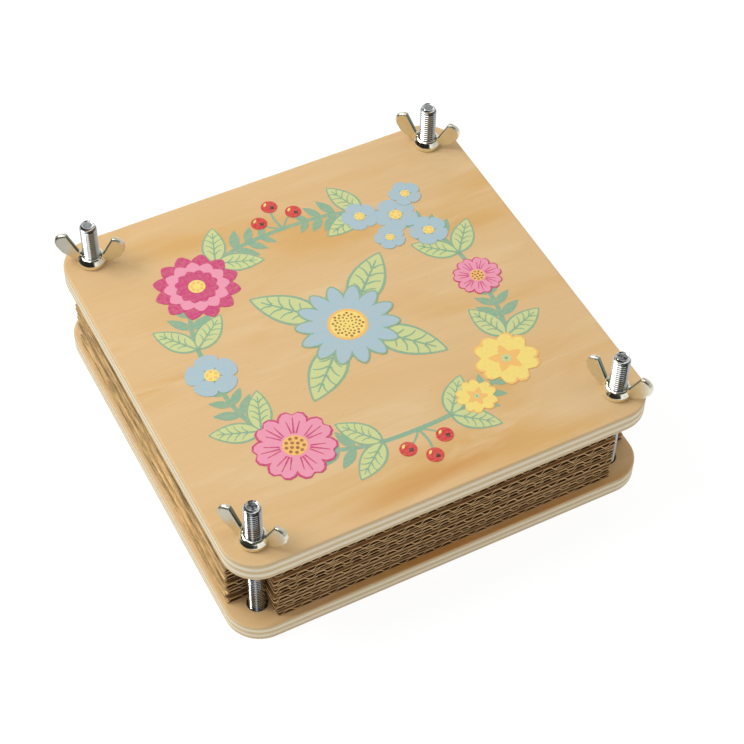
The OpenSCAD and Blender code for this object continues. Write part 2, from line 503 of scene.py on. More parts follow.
def board_mesh(s, bottom, thickness, half, seats):
    """Vertices and faces of a board. seats gives, for each hole, (centre, [(radius, height), ...])."""
    # A flat ring inside each edge keeps the shading of the faces even
    inner = s.arris_radius + 0.5 * MM
    profile = edge_profile(thickness, s.arris_radius, s.ply_count, s.glue_dip)
    profile = [(inner, 0.0)] + profile + [(inner, thickness)]
    walls = [[(rounded_square(half - inset, s.corner_radius - inset), z) for inset, z in profile]]
    for centre, levels in seats:
        walls.append([(circle_outline(centre, radius), z) for radius, z in levels])
    vertices = []
    faces = []
    caps = ([], [])
    for number, wall in enumerate(walls):
        first = len(vertices)
        count = len(wall[0][0])
        for outline, z in wall:
            vertices += [Vector((*point, bottom + z)) for point in outline]
        for start in range(first, len(vertices) - count, count):
            stitch_rings(faces, start, start + count, count, flip=number > 0)
        caps[0].append(range(first, first + count))
        caps[1].append(range(len(vertices) - count, len(vertices)))
    for upward, loops in enumerate(caps):
        order = [index for loop in loops for index in loop]
        for a, b, c in tessellate_polygon([[vertices[k] for k in loop] for loop in loops]):
            face = (order[a], order[b], order[c])
            normal = (vertices[face[1]] - vertices[face[0]]).cross(vertices[face[2]] - vertices[face[0]])
            faces.append(face if (normal.z > 0) == bool(upward) else face[::-1])
    return vertices, faces


def face_veneer(tree, place, s, streaks):
    """Colour of the face veneer: warm patches, soft slanting streaks, specks and a few single streaks, which
    on the bottom board are a painted shade and a painted highlight.
    """
    # Patches 100 mm long, streaks 60 mm long and specks 1.5 mm long, all drawn out along X
    patch = stretched_noise(tree, place, (9, 30, 30), detail=3.0, distortion=0.8, turn=0.12)
    face = lay_over(tree, s.face, s.face_deep, patch, 0.48, 0.72, smooth=True)
    streak = stretched_noise(
        tree, place, (16, 75, 75), detail=4.0, roughness=0.55, distortion=1.0, turn=0.3
    )
    face = lay_over(tree, face, s.pale_grain_and_painted_light, streak, 0.48, 0.8, 0.8, smooth=True)
    ragged = add_node(tree, "ShaderNodeMapRange", {"Value": streak, "To Min": -0.6, "To Max": 0.6})
    # Single streaks: grain on the top board; on the bottom board a painted shade and a painted highlight
    for tint, x, y, long, wide, turn, strength in streaks:
        near = add_node(
            tree, "ShaderNodeMapping",
            {
                "Vector": place, "Location": (x * MM, y * MM, 0.0), "Rotation": (0.0, 0.0, turn),
                "Scale": (long * MM, wide * MM, 1.0),
            },
            vector_type="TEXTURE",
        )
        away = add_node(tree, "ShaderNodeVectorMath", {0: near}, operation="LENGTH").outputs["Value"]
        away = add_node(tree, "ShaderNodeMath", {0: away, 1: ragged}, operation="ADD")
        face = lay_over(tree, face, tint, away, 1.1, 0.1, strength, smooth=True)
    speck = stretched_noise(tree, place, (650, 1500, 1500), detail=1.0)
    return lay_over(tree, face, s.face_speck, speck, 0.74, 0.82, 0.5), streak


def ply_edge(tree, place, s, bottom, thickness):
    """Colour of the board's edge: long plies dark, cross plies light, their borders wandering a little."""
    height = add_node(tree, "ShaderNodeSeparateXYZ", {0: place}).outputs["Z"]
    wander = stretched_noise(tree, place, (120, 120, 120))
    drift = add_node(
        tree, "ShaderNodeMapRange", {"Value": wander, "To Min": -0.25 * MM, "To Max": 0.25 * MM}
    )
    level = add_node(tree, "ShaderNodeMath", {0: height, 1: drift}, operation="ADD")
    ply = add_node(
        tree, "ShaderNodeMapRange",
        {"Value": level, "From Min": bottom, "From Max": bottom + thickness, "To Max": s.ply_count * math.pi},
    )
    wave = add_node(tree, "ShaderNodeMath", {0: ply}, operation="SINE")
    band = add_node(
        tree, "ShaderNodeMapRange", {"Value": wave, "From Min": -0.55, "From Max": 0.55},
        interpolation_type="SMOOTHSTEP",
    )
    # Streaks 17 mm long and half a millimetre high along the edge
    streak = stretched_noise(tree, place, (60, 60, 2200), detail=3.0)
    fray = add_node(tree, "ShaderNodeMapRange", {"Value": streak, "To Min": -0.3, "To Max": 0.3})
    band = add_node(tree, "ShaderNodeMath", {0: band, 1: fray}, operation="ADD")
    return lay_over(tree, s.ply_light, s.ply_dark, band, 0.0, 1.0)


def plywood(name, s, bottom, thickness, streaks):
    """Birch plywood, sanded and satin-lacquered: long warm fibres on the faces, five plies in the edge."""
    material, tree, place = new_material(name)
    face, streak = face_veneer(tree, place, s, streaks)
    edge = ply_edge(tree, place, s, bottom, thickness)
    facing = add_node(tree, "ShaderNodeNewGeometry").outputs["Normal"]
    upright = add_node(tree, "ShaderNodeSeparateXYZ", {0: facing}).outputs["Z"]
    upright = add_node(tree, "ShaderNodeMath", {0: upright}, operation="ABSOLUTE")
    base = lay_over(tree, edge, face, upright, 0.6, 0.9, smooth=True)
    # Fibres 0.35 mm wide, coarser than real ones so that they show
    fibre = stretched_noise(tree, place, (55, 2800, 2800), roughness=0.7)
    base = tone(tree, base, fibre, 0.0, 1.0, 0.93, 1.06)
    rough = add_node(tree, "ShaderNodeMapRange", {"Value": streak, "To Min": 0.42, "To Max": 0.58})
    finish_surface(
        tree, base, fibre, 0.12, 0.05 * MM, {"Roughness": rough, "IOR": 1.5, "Specular IOR Level": 0.35}
    )
    return material


def make_board(context, node, body, low_seat, streaks):
    """One plywood board in place of its frame node. low_seat gives the levels of a hole from below."""
    s = context.scene.press_boards
    low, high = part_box(node)
    thickness = high.z - low.z
    seats = [(screw_axis(corner), low_seat(thickness)) for corner in CORNERS]
    vertices, faces = board_mesh(s, low.z, thickness, high.x, seats)
    material = plywood("birch_plywood_" + body, s, low.z, thickness, streaks)
    board = mesh_piece(node + "_plywood", vertices, faces, material)
    smooth_by_angle(board.data, 40)
    hand_over(board, body, "plywood", node)


class PRESS_OT_boards(bpy.types.Operator):
    """Build the two plywood boards with sanded edges, drilled holes and countersinks"""

    bl_idname = "press.make_boards"
    bl_label = "Boards"

    def execute(self, context):
        s = context.scene.press_boards
        hole = s.hole_diameter / 2
        break_edge = 0.25 * MM
        # A ring this wide round each hole keeps the shading of the faces even
        margin = 0.6 * MM
        play = 0.05 * MM
        head = span_of("screw_front_left").x / 2 + play
        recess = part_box("screw_front_left")[0].z + context.scene.press_screws.head_rim
        # Tint, middle, half length and half width in millimetres, turn and strength of single streaks
        top_streaks = (
            (s.orange_grain_and_painted_shade, 0, -70.5, 36, 5.5, 0.06, 0.75),
            (s.pale_grain_and_painted_light, 50, -66, 24, 9, -0.15, 0.6),
        )
        # On the bottom board both single streaks are painted light: an orange painted shade on the strip
        # before the stack, and a pale painted highlight along the lit left ledge
        bottom_painted_light = (
            (s.orange_grain_and_painted_shade, 0, -77, 110, 6, 0.0, 0.9),
            (s.pale_grain_and_painted_light, -78, 0, 5, 75, 0.0, 0.9),
        )

        def drilled(thickness):
            return [
                (hole + margin, 0.0), (hole + break_edge, 0.0), (hole, break_edge),
                (hole, thickness - break_edge), (hole + break_edge, thickness), (hole + margin, thickness),
            ]

        def countersunk(thickness):
            return [
                (head + margin, 0.0), (head, 0.0), (head, recess), (hole, recess + head - hole),
                (hole, thickness - break_edge), (hole + break_edge, thickness), (hole + margin, thickness),
            ]

        make_board(context, "top_board", "lid", drilled, top_streaks)
        make_board(context, "bottom_board", "base", countersunk, bottom_painted_light)
        return {"FINISHED"}


# Corrugated cards

def notched_sheet(name, low, high, notch_x, notch_y, wear, pitch):
    """A flat sheet, its corners cut out and worn; points carry their distance from a cut edge and a side."""
    centre = (low + high) / 2
    half_x = (high.x - low.x) / 2
    half_y = (high.y - low.y) / 2
    inner_x = half_x - notch_x
    inner_y = half_y - notch_y
    columns_per_flute = 12
    step = pitch / columns_per_flute
    cells = round(inner_x / step)
    side_cells = round(notch_x / step)
    xs = [inner_x * k / cells for k in range(cells + 1)]
    xs += [inner_x + notch_x * k / side_cells for k in range(1, side_cells + 1)]
    # The rows of points crowd towards the cut edges, at these distances from them in millimetres
    ys = [0.0] + [inner_y - v * MM for v in (12.0, 5.0, 2.0, 0.7, 0.0)]
    ys += [half_y - v * MM for v in (5.5, 3.0, 1.6, 0.7, 0.0)]
    xs = [-x for x in reversed(xs[1:])] + xs
    ys = [-y for y in reversed(ys[1:])] + ys
    tiny = 1e-6

    def worn(x, y):
        for cx, cy in ((inner_x - wear, half_y - wear), (half_x - wear, inner_y - wear)):
            dx = abs(x) - cx
            dy = abs(y) - cy
            if dx > 0 and dy > 0 and dx <= wear + tiny and dy <= wear + tiny:
                keep = max(dx, dy) / math.hypot(dx, dy)
                x = math.copysign(cx + dx * keep, x)
                y = math.copysign(cy + dy * keep, y)
        return x, y

    vertices = []
    depths = []
    sides = []
    index = {}
    for i, x in enumerate(xs):
        for j, y in enumerate(ys):
            if abs(x) > inner_x + tiny and abs(y) > inner_y + tiny:
                continue
            index[i, j] = len(vertices)
            px, py = worn(x, y)
            vertices.append((centre.x + px, centre.y + py, 0.0))
            notch = math.hypot(max(inner_x - abs(x), 0.0), max(inner_y - abs(y), 0.0))
            depths.append(min(half_x - abs(x), half_y - abs(y), notch))
            sides.append(half_x - abs(x))
    faces = []
    for i, j in index:
        corners = [(i, j), (i + 1, j), (i + 1, j + 1), (i, j + 1)]
        if all(corner in index for corner in corners):
            faces.append([index[corner] for corner in corners])
    sheet = mesh_piece(name, vertices, faces)
    mark_points(sheet.data, "depth_in", depths)
    mark_points(sheet.data, "side_in", sides)
    return sheet


def kraft_board(s):
    """Corrugated kraft board: matt recycled paper, with painted shade in its flutes and painted light on its
    sides, pale and fluffed where it is cut.
    """
    material, tree, place = new_material("corrugated_kraft_board")
    # Cloudy stains 15 mm wide, a tone of its own for each card, and fibres 0.5 mm wide
    stain = stretched_noise(tree, place, (65, 65, 65), detail=3.0)
    layer = stretched_noise(tree, place, (3, 3, 420), detail=1.0)
    fibre = stretched_noise(tree, place, (1900, 1900, 1900), detail=3.0, roughness=0.7)
    for part in (layer, fibre):
        stain = add_node(tree, "ShaderNodeMath", {0: stain, 1: part}, operation="ADD")
    in_flute, depth, side = (
        add_node(tree, "ShaderNodeAttribute", attribute_name=mark).outputs["Fac"]
        for mark in ("in_flute", "depth_in", "side_in")
    )
    # Painted shade: the lower liner and the waved paper, inside the flutes, take the dark colour
    paper = lay_over(tree, s.kraft, s.flute_painted_shade, in_flute, 0.0, 1.0)
    paper = lay_over(tree, paper, s.kraft_dark, stain, 1.2, 1.8, 0.6)
    edge = lay_over(tree, s.cut_edge, s.kraft, stain, 1.2, 1.8, 0.5)
    base = lay_over(tree, edge, paper, depth, 0.0, 0.12 * MM)
    # The sides are painted paler than the front, as painted light standing for the lamp on the stack's sides,
    # with streaks 12 mm long and half a millimetre high, over bands 2 mm high that give the cards different
    # tones
    streak = stretched_noise(tree, place, (600, 80, 2200), detail=3.0, roughness=0.7)
    painted_lit_side = tone(tree, s.side_painted_light, streak, 0.34, 0.66, 0.4, 1.35)
    band = stretched_noise(tree, place, (8, 8, 450), detail=1.0)
    painted_lit_side = tone(tree, painted_lit_side, band, 0.35, 0.6, 0.7, 1.2)
    base = lay_over(tree, painted_lit_side, base, side, 0.4 * MM, 1.4 * MM)
    finish_surface(tree, base, fibre, 0.4, 0.1 * MM, {"Roughness": 0.85, "Specular IOR Level": 0.2})
    return material


def fluted_card_tree(material):
    """Geometry Nodes tree that turns a flat sheet into two liners with a waved paper between them."""
    tree, i = new_geometry_tree("Fluted card", (
        "Bottom", "Thickness", "Pitch", "Start", "Liner", "Waved paper", "Flare", "Crush", "Wander", "Seed",
    ))
    place = add_node(tree, "GeometryNodeInputPosition")
    across = add_node(tree, "ShaderNodeSeparateXYZ", {0: place}).outputs["X"]
    depth, side = (
        add_node(tree, "GeometryNodeInputNamedAttribute", {"Name": mark}, data_type="FLOAT")
        for mark in ("depth_in", "side_in")
    )
    # Dents 16 mm wide press the liners, the edges wander over 25 mm, and the flare changes over 70 mm
    dents, drift, spread = (
        add_node(
            tree, "ShaderNodeTexNoise",
            {"Vector": place, "W": i["Seed"], "Scale": scale, "Detail": detail}, noise_dimensions="4D",
        )
        for scale, detail in ((60.0, 1.0), (40.0, 2.0), (14.0, 2.0))
    )
    drift = add_node(
        tree, "ShaderNodeVectorMath", {0: drift.outputs["Color"], 1: (4.0, 4.0, 0.0), 2: (-2.0, -2.0, 0.0)},
        operation="MULTIPLY_ADD",
    )
    drift = add_node(tree, "ShaderNodeVectorMath", {0: drift, "Scale": i["Wander"]}, operation="SCALE")
    shaped = add_node(tree, "GeometryNodeSetPosition", {"Geometry": i["Geometry"], "Offset": drift})
    # Wave of the paper between the liners, from 0 at the foot to 1 at the crest
    loose = add_node(tree, "ShaderNodeMath", {0: i["Pitch"], 1: i["Crush"]}, operation="MULTIPLY")
    uneven = add_node(tree, "ShaderNodeMath", {0: dents.outputs[0], 1: 0.5}, operation="SUBTRACT")
    along = add_node(tree, "ShaderNodeMath", {0: across, 1: i["Start"]}, operation="SUBTRACT")
    along = add_node(tree, "ShaderNodeMath", {0: loose, 1: uneven, 2: along}, operation="MULTIPLY_ADD")
    angle = add_node(
        tree, "ShaderNodeMapRange", {"Value": along, "From Max": i["Pitch"], "To Max": 2 * math.pi},
        clamp=False,
    )
    wave = add_node(tree, "ShaderNodeMath", {0: angle}, operation="SINE")
    # Along both sides the last flute is pressed down to the lower liner, which closes the card
    crest, free, closing, inside = (
        add_node(
            tree, "ShaderNodeMapRange", {"Value": value, "From Min": begins, "From Max": full},
            interpolation_type="SMOOTHSTEP",
        )
        for value, begins, full in (
            (wave, -0.92, 0.75), (side, 1.6 * MM, 4.0 * MM), (side, 0.1 * MM, 1.6 * MM),
            (depth, 0.0, 2.0 * MM),
        )
    )
    crest = add_node(tree, "ShaderNodeMix", {"Factor": free, "A": 1.0, "B": crest}, data_type="FLOAT")
    crest = add_node(tree, "ShaderNodeMath", {0: crest, 1: closing}, operation="MULTIPLY")
    # Heights of the liners: pressed together here and there, spread apart at most cut edges
    press = add_node(tree, "ShaderNodeMath", {0: i["Thickness"], 1: i["Crush"]}, operation="MULTIPLY")
    dip, flare = (
        add_node(
            tree, "ShaderNodeMapRange",
            {"Value": value, "From Min": begins, "From Max": full, "To Max": most},
        )
        for value, begins, full, most in (
            (dents.outputs[0], 0.45, 0.8, press), (spread.outputs[0], 0.4, 0.48, i["Flare"]),
        )
    )
    dip = add_node(tree, "ShaderNodeMath", {0: dip, 1: inside}, operation="MULTIPLY")
    flare = add_node(tree, "ShaderNodeMapRange", {"Value": inside, "To Min": flare, "To Max": 0.0})
    foot = add_node(tree, "ShaderNodeMath", {0: i["Bottom"], 1: flare}, operation="SUBTRACT")
    roof = i["Bottom"]
    for operation, part in (
        ("ADD", i["Thickness"]), ("SUBTRACT", i["Liner"]), ("ADD", flare), ("SUBTRACT", dip)
    ):
        roof = add_node(tree, "ShaderNodeMath", {0: roof, 1: part}, operation=operation)
    valley = add_node(tree, "ShaderNodeMath", {0: foot, 1: i["Liner"]}, operation="ADD")
    peak = add_node(tree, "ShaderNodeMath", {0: roof, 1: i["Waved paper"]}, operation="SUBTRACT")
    wave = add_node(
        tree, "ShaderNodeMapRange", {"Value": crest, "To Min": valley, "To Max": peak}, clamp=False
    )
    layers = []
    # The lower liner and the waved paper are marked for the painted shade inside the flutes
    papers = ((foot, i["Liner"], 1.0), (wave, i["Waved paper"], 1.0), (roof, i["Liner"], 0.0))
    for height, thickness, in_flute in papers:
        offset = add_node(tree, "ShaderNodeCombineXYZ", {"Z": height})
        sheet = add_node(tree, "GeometryNodeSetPosition", {"Geometry": shaped, "Offset": offset})
        sheet = add_node(
            tree, "GeometryNodeStoreNamedAttribute",
            {"Geometry": sheet, "Name": "in_flute", "Value": in_flute}, data_type="FLOAT", domain="POINT",
        )
        thick = add_node(
            tree, "GeometryNodeExtrudeMesh",
            {"Mesh": sheet, "Offset": (0.0, 0.0, 1.0), "Offset Scale": thickness, "Individual": False},
        )
        under = add_node(tree, "GeometryNodeFlipFaces", {"Mesh": sheet})
        closed = add_node(tree, "GeometryNodeJoinGeometry", {"Geometry": [thick, under]})
        layers.append(add_node(
            tree, "GeometryNodeMergeByDistance", {"Geometry": closed, "Distance": 0.001 * MM}
        ))
    end_geometry_tree(tree, add_node(tree, "GeometryNodeJoinGeometry", {"Geometry": layers}), material)
    return tree


class PRESS_OT_cards(bpy.types.Operator):
    """Build the stack of corrugated cards, each with its own pressed flutes and a little out of line"""

    bl_idname = "press.make_cards"
    bl_label = "Corrugated cards"

    def execute(self, context):
        s = context.scene.press_cards
        draw = random.Random(12)
        turn_within = 0.03
        top_turn = -0.3
        play = 0.2 * MM
        play_behind = 0.4 * MM
        tree = fluted_card_tree(kraft_board(s))
        axis = screw_axis("front_right")
        clear = context.scene.press_screws.diameter / 2
        for number in range(1, CARD_COUNT + 1):
            node = f"card_{number}"
            low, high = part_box(node)
            back = s.stack_back
            turn = math.radians(draw.uniform(-turn_within, turn_within))
            if number > CARD_COUNT - 2:
                back += s.top_set_back
                turn = math.radians(top_turn)
            # The cut-outs clear the screws even where the card is turned and pushed back
            slack = play + abs(turn) * high.y
            notch_x = high.x - (axis.x - clear - s.stack_shift - slack)
            notch_y = high.y - (-axis.y - clear - back - slack - play_behind)
            card = notched_sheet(
                "corrugated_" + node, low, high, notch_x, notch_y, s.corner_wear, s.flute_pitch
            )
            run_nodes(
                card, tree, bottom=low.z, thickness=high.z - low.z, pitch=s.flute_pitch,
                start=draw.uniform(0, s.flute_pitch), liner=s.liner_thickness,
                waved_paper=s.flute_thickness, flare=s.edge_flare, crush=s.crush,
                wander=s.edge_wander, seed=draw.uniform(0, 50),
            )
            shift = Vector((draw.uniform(-1, 1), draw.uniform(-1, 1), 0.0)) * s.loose_shift
            shift += Vector((-s.stack_shift, back, 0.0))
            card.data.transform(Matrix.Translation(shift) @ Matrix.Rotation(turn, 4, "Z"))
            smooth_by_angle(card.data, 50)
            hand_over(card, f"card_layer_{number}", "corrugated_card", node)
        return {"FINISHED"}


# Blotting sheets

def blotting_paper(s):
    """Unsized cotton blotting paper: soft, matt and off-white, with a felt of loose fibres."""
    material, tree, place = new_material("cotton_blotting_paper")
    # Felt of fibres 0.7 mm wide over clouds of 25 mm
    felt = stretched_noise(tree, place, (1500, 1500, 1500), detail=4.0, roughness=0.7)
    cloud = stretched_noise(tree, place, (40, 40, 40))
    mixed = add_node(tree, "ShaderNodeMath", {0: felt, 1: cloud}, operation="ADD")
    base = tone(tree, s.paper, mixed, 0.7, 1.3, 0.88, 1.04)
    finish_surface(tree, base, felt, 0.3, 0.05 * MM, {"Roughness": 0.95, "Specular IOR Level": 0.1})
    return material


class PRESS_OT_blotting_sheets(bpy.types.Operator):
    """Give the blotting sheets between the cards their paper"""

    bl_idname = "press.finish_blotting_sheets"
    bl_label = "Blotting sheets"

    def execute(self, context):
        material = blotting_paper(context.scene.press_sheets)
        for name, node in frame["nodes"].items():
            if name.startswith("blotting_sheet_"):
                for slot in node.material_slots:
                    slot.material = material
        return {"FINISHED"}


# Machine screws

def turned_shape(profile, segments, closed=False):
    """Vertices and faces of a turned shape from (radius, height) points, closed where it has a bore."""
    vertices = []
    faces = []
    rings = []
    for radius, z in profile:
        count = segments if radius else 1
        rings.append((len(vertices), count))
        vertices += [(*on_circle(radius, 2 * math.pi * k / segments), z) for k in range(count)]
    after = rings[1:] + rings[:1] if closed else rings[1:]
    for (first, count), (second, next_count) in zip(rings, after):
        for k in range(segments):
            n = (k + 1) % segments
            quad = (first + k % count, first + n % count, second + n % next_count, second + k % next_count)
            # On the axis two corners are one point, and the face is a triangle
            faces.append(tuple(dict.fromkeys(quad)))
    return vertices, faces


def zinc_plate(name, metal, painted_shade_colour, pits):
    """Bright zinc plate: glossy, slightly clouded, with painted shade where the mesh marks it, duller on
    faces that were only forged.
    """
    material, tree, place = new_material(name)
    # Clouds 3 mm wide and peel 0.7 mm wide, coarser than real ones so that they show
    cloud = stretched_noise(tree, place, (350, 350, 350), detail=3.0)
    peel = stretched_noise(tree, place, (1400, 1400, 1400))
    matt, groove = (
        add_node(tree, "ShaderNodeAttribute", attribute_name=mark).outputs["Fac"]
        for mark in ("matt", "groove")
    )

    def clouded(low, high, where_matt):
        level = add_node(
            tree, "ShaderNodeMapRange",
            {"Value": cloud, "From Min": 0.3, "From Max": 0.7, "To Min": low, "To Max": high},
        )
        return add_node(
            tree, "ShaderNodeMath", {0: matt, 1: where_matt, 2: level}, operation="MULTIPLY_ADD"
        )

    base = tone(tree, metal, clouded(0.9, 1.0, -0.08), 0.0, 1.0, 0.0, 1.0)
    # Painted shade: marked points take the dark colour
    base = lay_over(tree, base, painted_shade_colour, groove, 0.0, 1.0)
    rough = clouded(0.08, 0.16, 0.22)
    finish_surface(tree, base, peel, pits, 0.05 * MM, {"Metallic": 1.0, "Roughness": rough})
    return material


def rolled_thread_tree(material):
    """Geometry Nodes tree that winds a right-handed ridge round a screw's core, faded out at its ends."""
    tree, i = new_geometry_tree("Rolled thread", ("Root", "Depth", "Pitch", "Foot", "Height"))
    turns = add_node(tree, "ShaderNodeMath", {0: i["Height"], 1: i["Pitch"]}, operation="DIVIDE")
    helix = add_node(
        tree, "GeometryNodeCurveSpiral",
        {
            "Resolution": 28, "Rotations": turns, "Start Radius": i["Root"], "End Radius": i["Root"],
            "Height": i["Height"], "Reverse": True,
        },
    )
    lift = add_node(tree, "ShaderNodeCombineXYZ", {"Z": i["Foot"]})
    helix = add_node(tree, "GeometryNodeSetPosition", {"Geometry": helix, "Offset": lift})
    helix = add_node(tree, "GeometryNodeSetCurveNormal", {"Curve": helix}, mode="Z_UP")
    # The ridge swells over its first turn and dies away over half a turn at the free end
    along = add_node(tree, "GeometryNodeSplineParameter").outputs["Factor"]
    gone = add_node(tree, "ShaderNodeMath", {0: along, 1: i["Height"]}, operation="MULTIPLY")
    left = add_node(tree, "ShaderNodeMath", {0: i["Height"], 1: gone}, operation="SUBTRACT")
    swell, fade = (
        add_node(tree, "ShaderNodeMapRange", {"Value": value, "From Max": full, "To Min": 0.03})
        for value, full in ((gone, i["Pitch"]), (left, i["Depth"]))
    )
    size = add_node(tree, "ShaderNodeMath", {0: swell, 1: fade}, operation="MINIMUM")
    # Ridge with a flat crest, its foot sunk into the core; the corners give shares of depth and pitch
    profile = add_node(tree, "GeometryNodeCurvePrimitiveQuadrilateral", mode="POINTS")
    for number, (out, up) in enumerate(((-0.1, -0.48), (1.0, -0.08), (1.0, 0.08), (-0.1, 0.48)), 1):
        out = add_node(tree, "ShaderNodeMath", {0: i["Depth"], 1: out}, operation="MULTIPLY")
        up = add_node(tree, "ShaderNodeMath", {0: i["Pitch"], 1: up}, operation="MULTIPLY")
        corner = add_node(tree, "ShaderNodeCombineXYZ", {"X": out, "Y": up})
        tree.links.new(corner.outputs[0], profile.inputs[f"Point {number}"])
    ridge = add_node(
        tree, "GeometryNodeCurveToMesh",
        {"Curve": helix, "Profile Curve": profile, "Scale": size, "Fill Caps": True},
    )
    whole = add_node(tree, "GeometryNodeJoinGeometry", {"Geometry": [ridge, i["Geometry"]]})
    end_geometry_tree(tree, whole, material)
    return tree


def cross_outline(reach, width):
    """Outline of a cross slot, anticlockwise."""
    r = reach / 2
    w = width / 2
    arm = [(r, -w), (r, w), (w, w)]
    points = []
    for quarter in range(4):
        turn = Matrix.Rotation(quarter * math.pi / 2, 2)
        points += [turn @ Vector(p) for p in arm]
    return points


def screw_core(name, s, low, high):
    """Countersunk screw at its thread's root: cross slot below, sloping ring and rough dimple above."""
    root = s.diameter / 2 - s.thread_depth
    point = s.point_diameter / 2
    head = (high.x - low.x) / 2
    blunt = 0.1 * MM
    cone_top = low.z + s.head_rim + head - root
    profile = [
        (0.0, low.z), (head - blunt, low.z), (head, low.z + blunt), (head, low.z + s.head_rim),
        (root, cone_top),
    ]
    # The free end swells and narrows: growth of the radius and depth below the end, in millimetres
    for growth, below in ((0.0, 1.1), (0.12, 0.75), (0.04, 0.4), (-0.12, 0.2)):
        profile.append((root + growth * MM, high.z - below * MM))
    profile += [(point, high.z), (point - blunt, high.z - blunt / 2)]
    # Shares of the ring's radius and of the dimple's depth
    dent = ((0.9, 0.6), (0.8, 0.9), (0.68, 1.0), (0.54, 1.0), (0.4, 0.95), (0.2, 0.9), (0.0, 0.9))
    profile += [(point * across, high.z - s.point_dent * down) for across, down in dent]
    screw = mesh_piece(name, *turned_shape(profile, 56))
    # Lumps 0.8 mm wide and up to 0.08 mm high, different on each screw, make the dimple rough
    for vertex in screw.data.vertices:
        if vertex.co.z > high.z - s.point_dent * 1.1 and vertex.co.xy.length < point * 0.9:
            vertex.co.z += 0.08 * MM * noise.noise(vertex.co * 1300.0 + high * 9000.0)
    cut_cross_slot(screw.data, s, low.z)
    return screw, cone_top


def cut_cross_slot(mesh, s, face):
    """Open the flat end of a screw's head, at the height face, with a cross slot."""
    floor_share = 0.9
    body = bmesh.new()
    body.from_mesh(mesh)
    body.verts.ensure_lookup_table()
    bmesh.ops.delete(body, geom=[body.verts[0]], context="VERTS")
    rim = sorted(
        (v for v in body.verts if abs(v.co.z - face) < 1e-9),
        key=lambda v: math.atan2(v.co.y, v.co.x),
    )
    cross = cross_outline(s.slot_reach, s.slot_width)
    mouth = [body.verts.new((p.x, p.y, face)) for p in cross]
    floor = [
        body.verts.new((p.x * floor_share, p.y * floor_share, face + s.slot_depth)) for p in cross
    ]

    def close(*loops):
        flat = [v for loop in loops for v in loop]
        for corners in tessellate_polygon([[v.co for v in loop] for loop in loops]):
            body.faces.new([flat[k] for k in corners])

    close(rim, mouth)
    for k in range(len(cross)):
        n = (k + 1) % len(cross)
        body.faces.new((mouth[k], mouth[n], floor[n], floor[k]))
    close(floor)
    bmesh.ops.recalc_face_normals(body, faces=body.faces)
    body.to_mesh(mesh)
    body.free()


class PRESS_OT_screws(bpy.types.Operator):
    """Build the four zinc-plated machine screws with rolled threads"""

    bl_idname = "press.make_screws"
    bl_label = "Screws"

    def execute(self, context):
        s = context.scene.press_screws
        tree = rolled_thread_tree(zinc_plate("zinc_plated_steel_screw", s.metal, s.painted_shade_colour, 0.1))
        crest = s.diameter / 2
        root = crest - s.thread_depth
        bare_end = 0.9 * MM
        dimple = s.point_diameter * 0.47
        for corner in CORNERS:
            node = "screw_" + corner
            low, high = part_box(node)
            screw, cone_top = screw_core("threaded_" + node, s, low, high)
            foot = cone_top + s.pitch / 2
            end = high.z - bare_end
            run_nodes(
                screw, tree, root=root, depth=s.thread_depth, pitch=s.pitch, foot=foot, height=end - foot
            )
            face_outwards(screw.data)
            # The dimples at the front take more painted shade than those at the back
            worn = 0.5 if corner.startswith("front") else 0.12
            shade_levels = []
            for v in screw.data.vertices:
                dark = 0.0
                # Painted shade in the thread, darker towards its root
                if foot < v.co.z < end:
                    dark = 1.5 * (crest - v.co.xy.length) / s.thread_depth
                elif v.co.z > end and v.co.xy.length < dimple:
                    # Painted shade in the dimple, in spots 0.7 mm wide, different on each screw
                    dark = worn * (1.0 + 1.8 * noise.noise(v.co * 1500.0 + high * 9000.0))
                shade_levels.append(min(1.0, max(0.0, dark)))
            mark_points(screw.data, "groove", shade_levels)
            screw.data.transform(Matrix.Translation(screw_axis(corner)))
            smooth_by_angle(screw.data, 45)
            hand_over(screw, "base", "zinc_screw", node)
        return {"FINISHED"}


# Wing nuts

# Angle of each nut's wings from X, in degrees
NUT_TURNS = {"front_left": -54, "front_right": -60, "back_left": -32, "back_right": -47}
# Side view of a wing: shares of the half span and of the wing's height
WING_SHARES = (
    (0.20, 0.06), (0.50, 0.10), (0.80, 0.30), (0.95, 0.54), (0.98, 0.70),
    (0.95, 0.84), (0.86, 0.93), (0.74, 0.98), (0.64, 0.98), (0.34, 0.38), (0.20, 0.34),
)


def nut_hub(s):
    """Turned hub of a wing nut: upright foot, steep cone, sloping top and a bore with a chamfered mouth."""
    foot = s.foot_diameter / 2
    collar = s.collar_diameter / 2
    bore = s.bore_diameter / 2
    top = s.hub_height
    blunt = 0.2 * MM
    chamfer = 0.3 * MM
    profile = [
        (bore, 0.0), (foot - blunt, 0.0), (foot, blunt), (foot, s.foot_height),
        (foot - 0.05 * MM, s.foot_height + 0.15 * MM), (collar + 0.1 * MM, top - 0.8 * MM),
        (collar, top - 0.5 * MM), (bore + chamfer, top), (bore, top - chamfer),
    ]
    return turned_shape(profile, 64, closed=True)


def nut_wing(s, side):
    """One wing as a closed slab with bevelled edges, a little thicker at its tip than at its root."""
    reach = s.span / 2
    root = (s.bore_diameter / 2 + 0.25 * MM) / reach
    outline = [Vector((max(across, root) * reach, up * s.wing_height)) for across, up in WING_SHARES]
    middle = sum(outline, ORIGIN) / len(outline)
    bevel = 0.5 * MM
    vertices = []
    for layer, inset in ((-1.0, bevel), (-0.5, 0.0), (0.5, 0.0), (1.0, bevel)):
        for point in outline:
            half = s.wing_thickness / 2 * (0.95 + 0.15 * point.x / reach)
            corner = point + (middle - point).normalized() * inset
            vertices.append((side * corner.x, layer * half, corner.y))
    count = len(outline)
    faces = [tuple(range(count)), tuple(range(3 * count, 4 * count))]
    for layer in range(3):
        stitch_rings(faces, layer * count, (layer + 1) * count, count)
    return vertices, faces


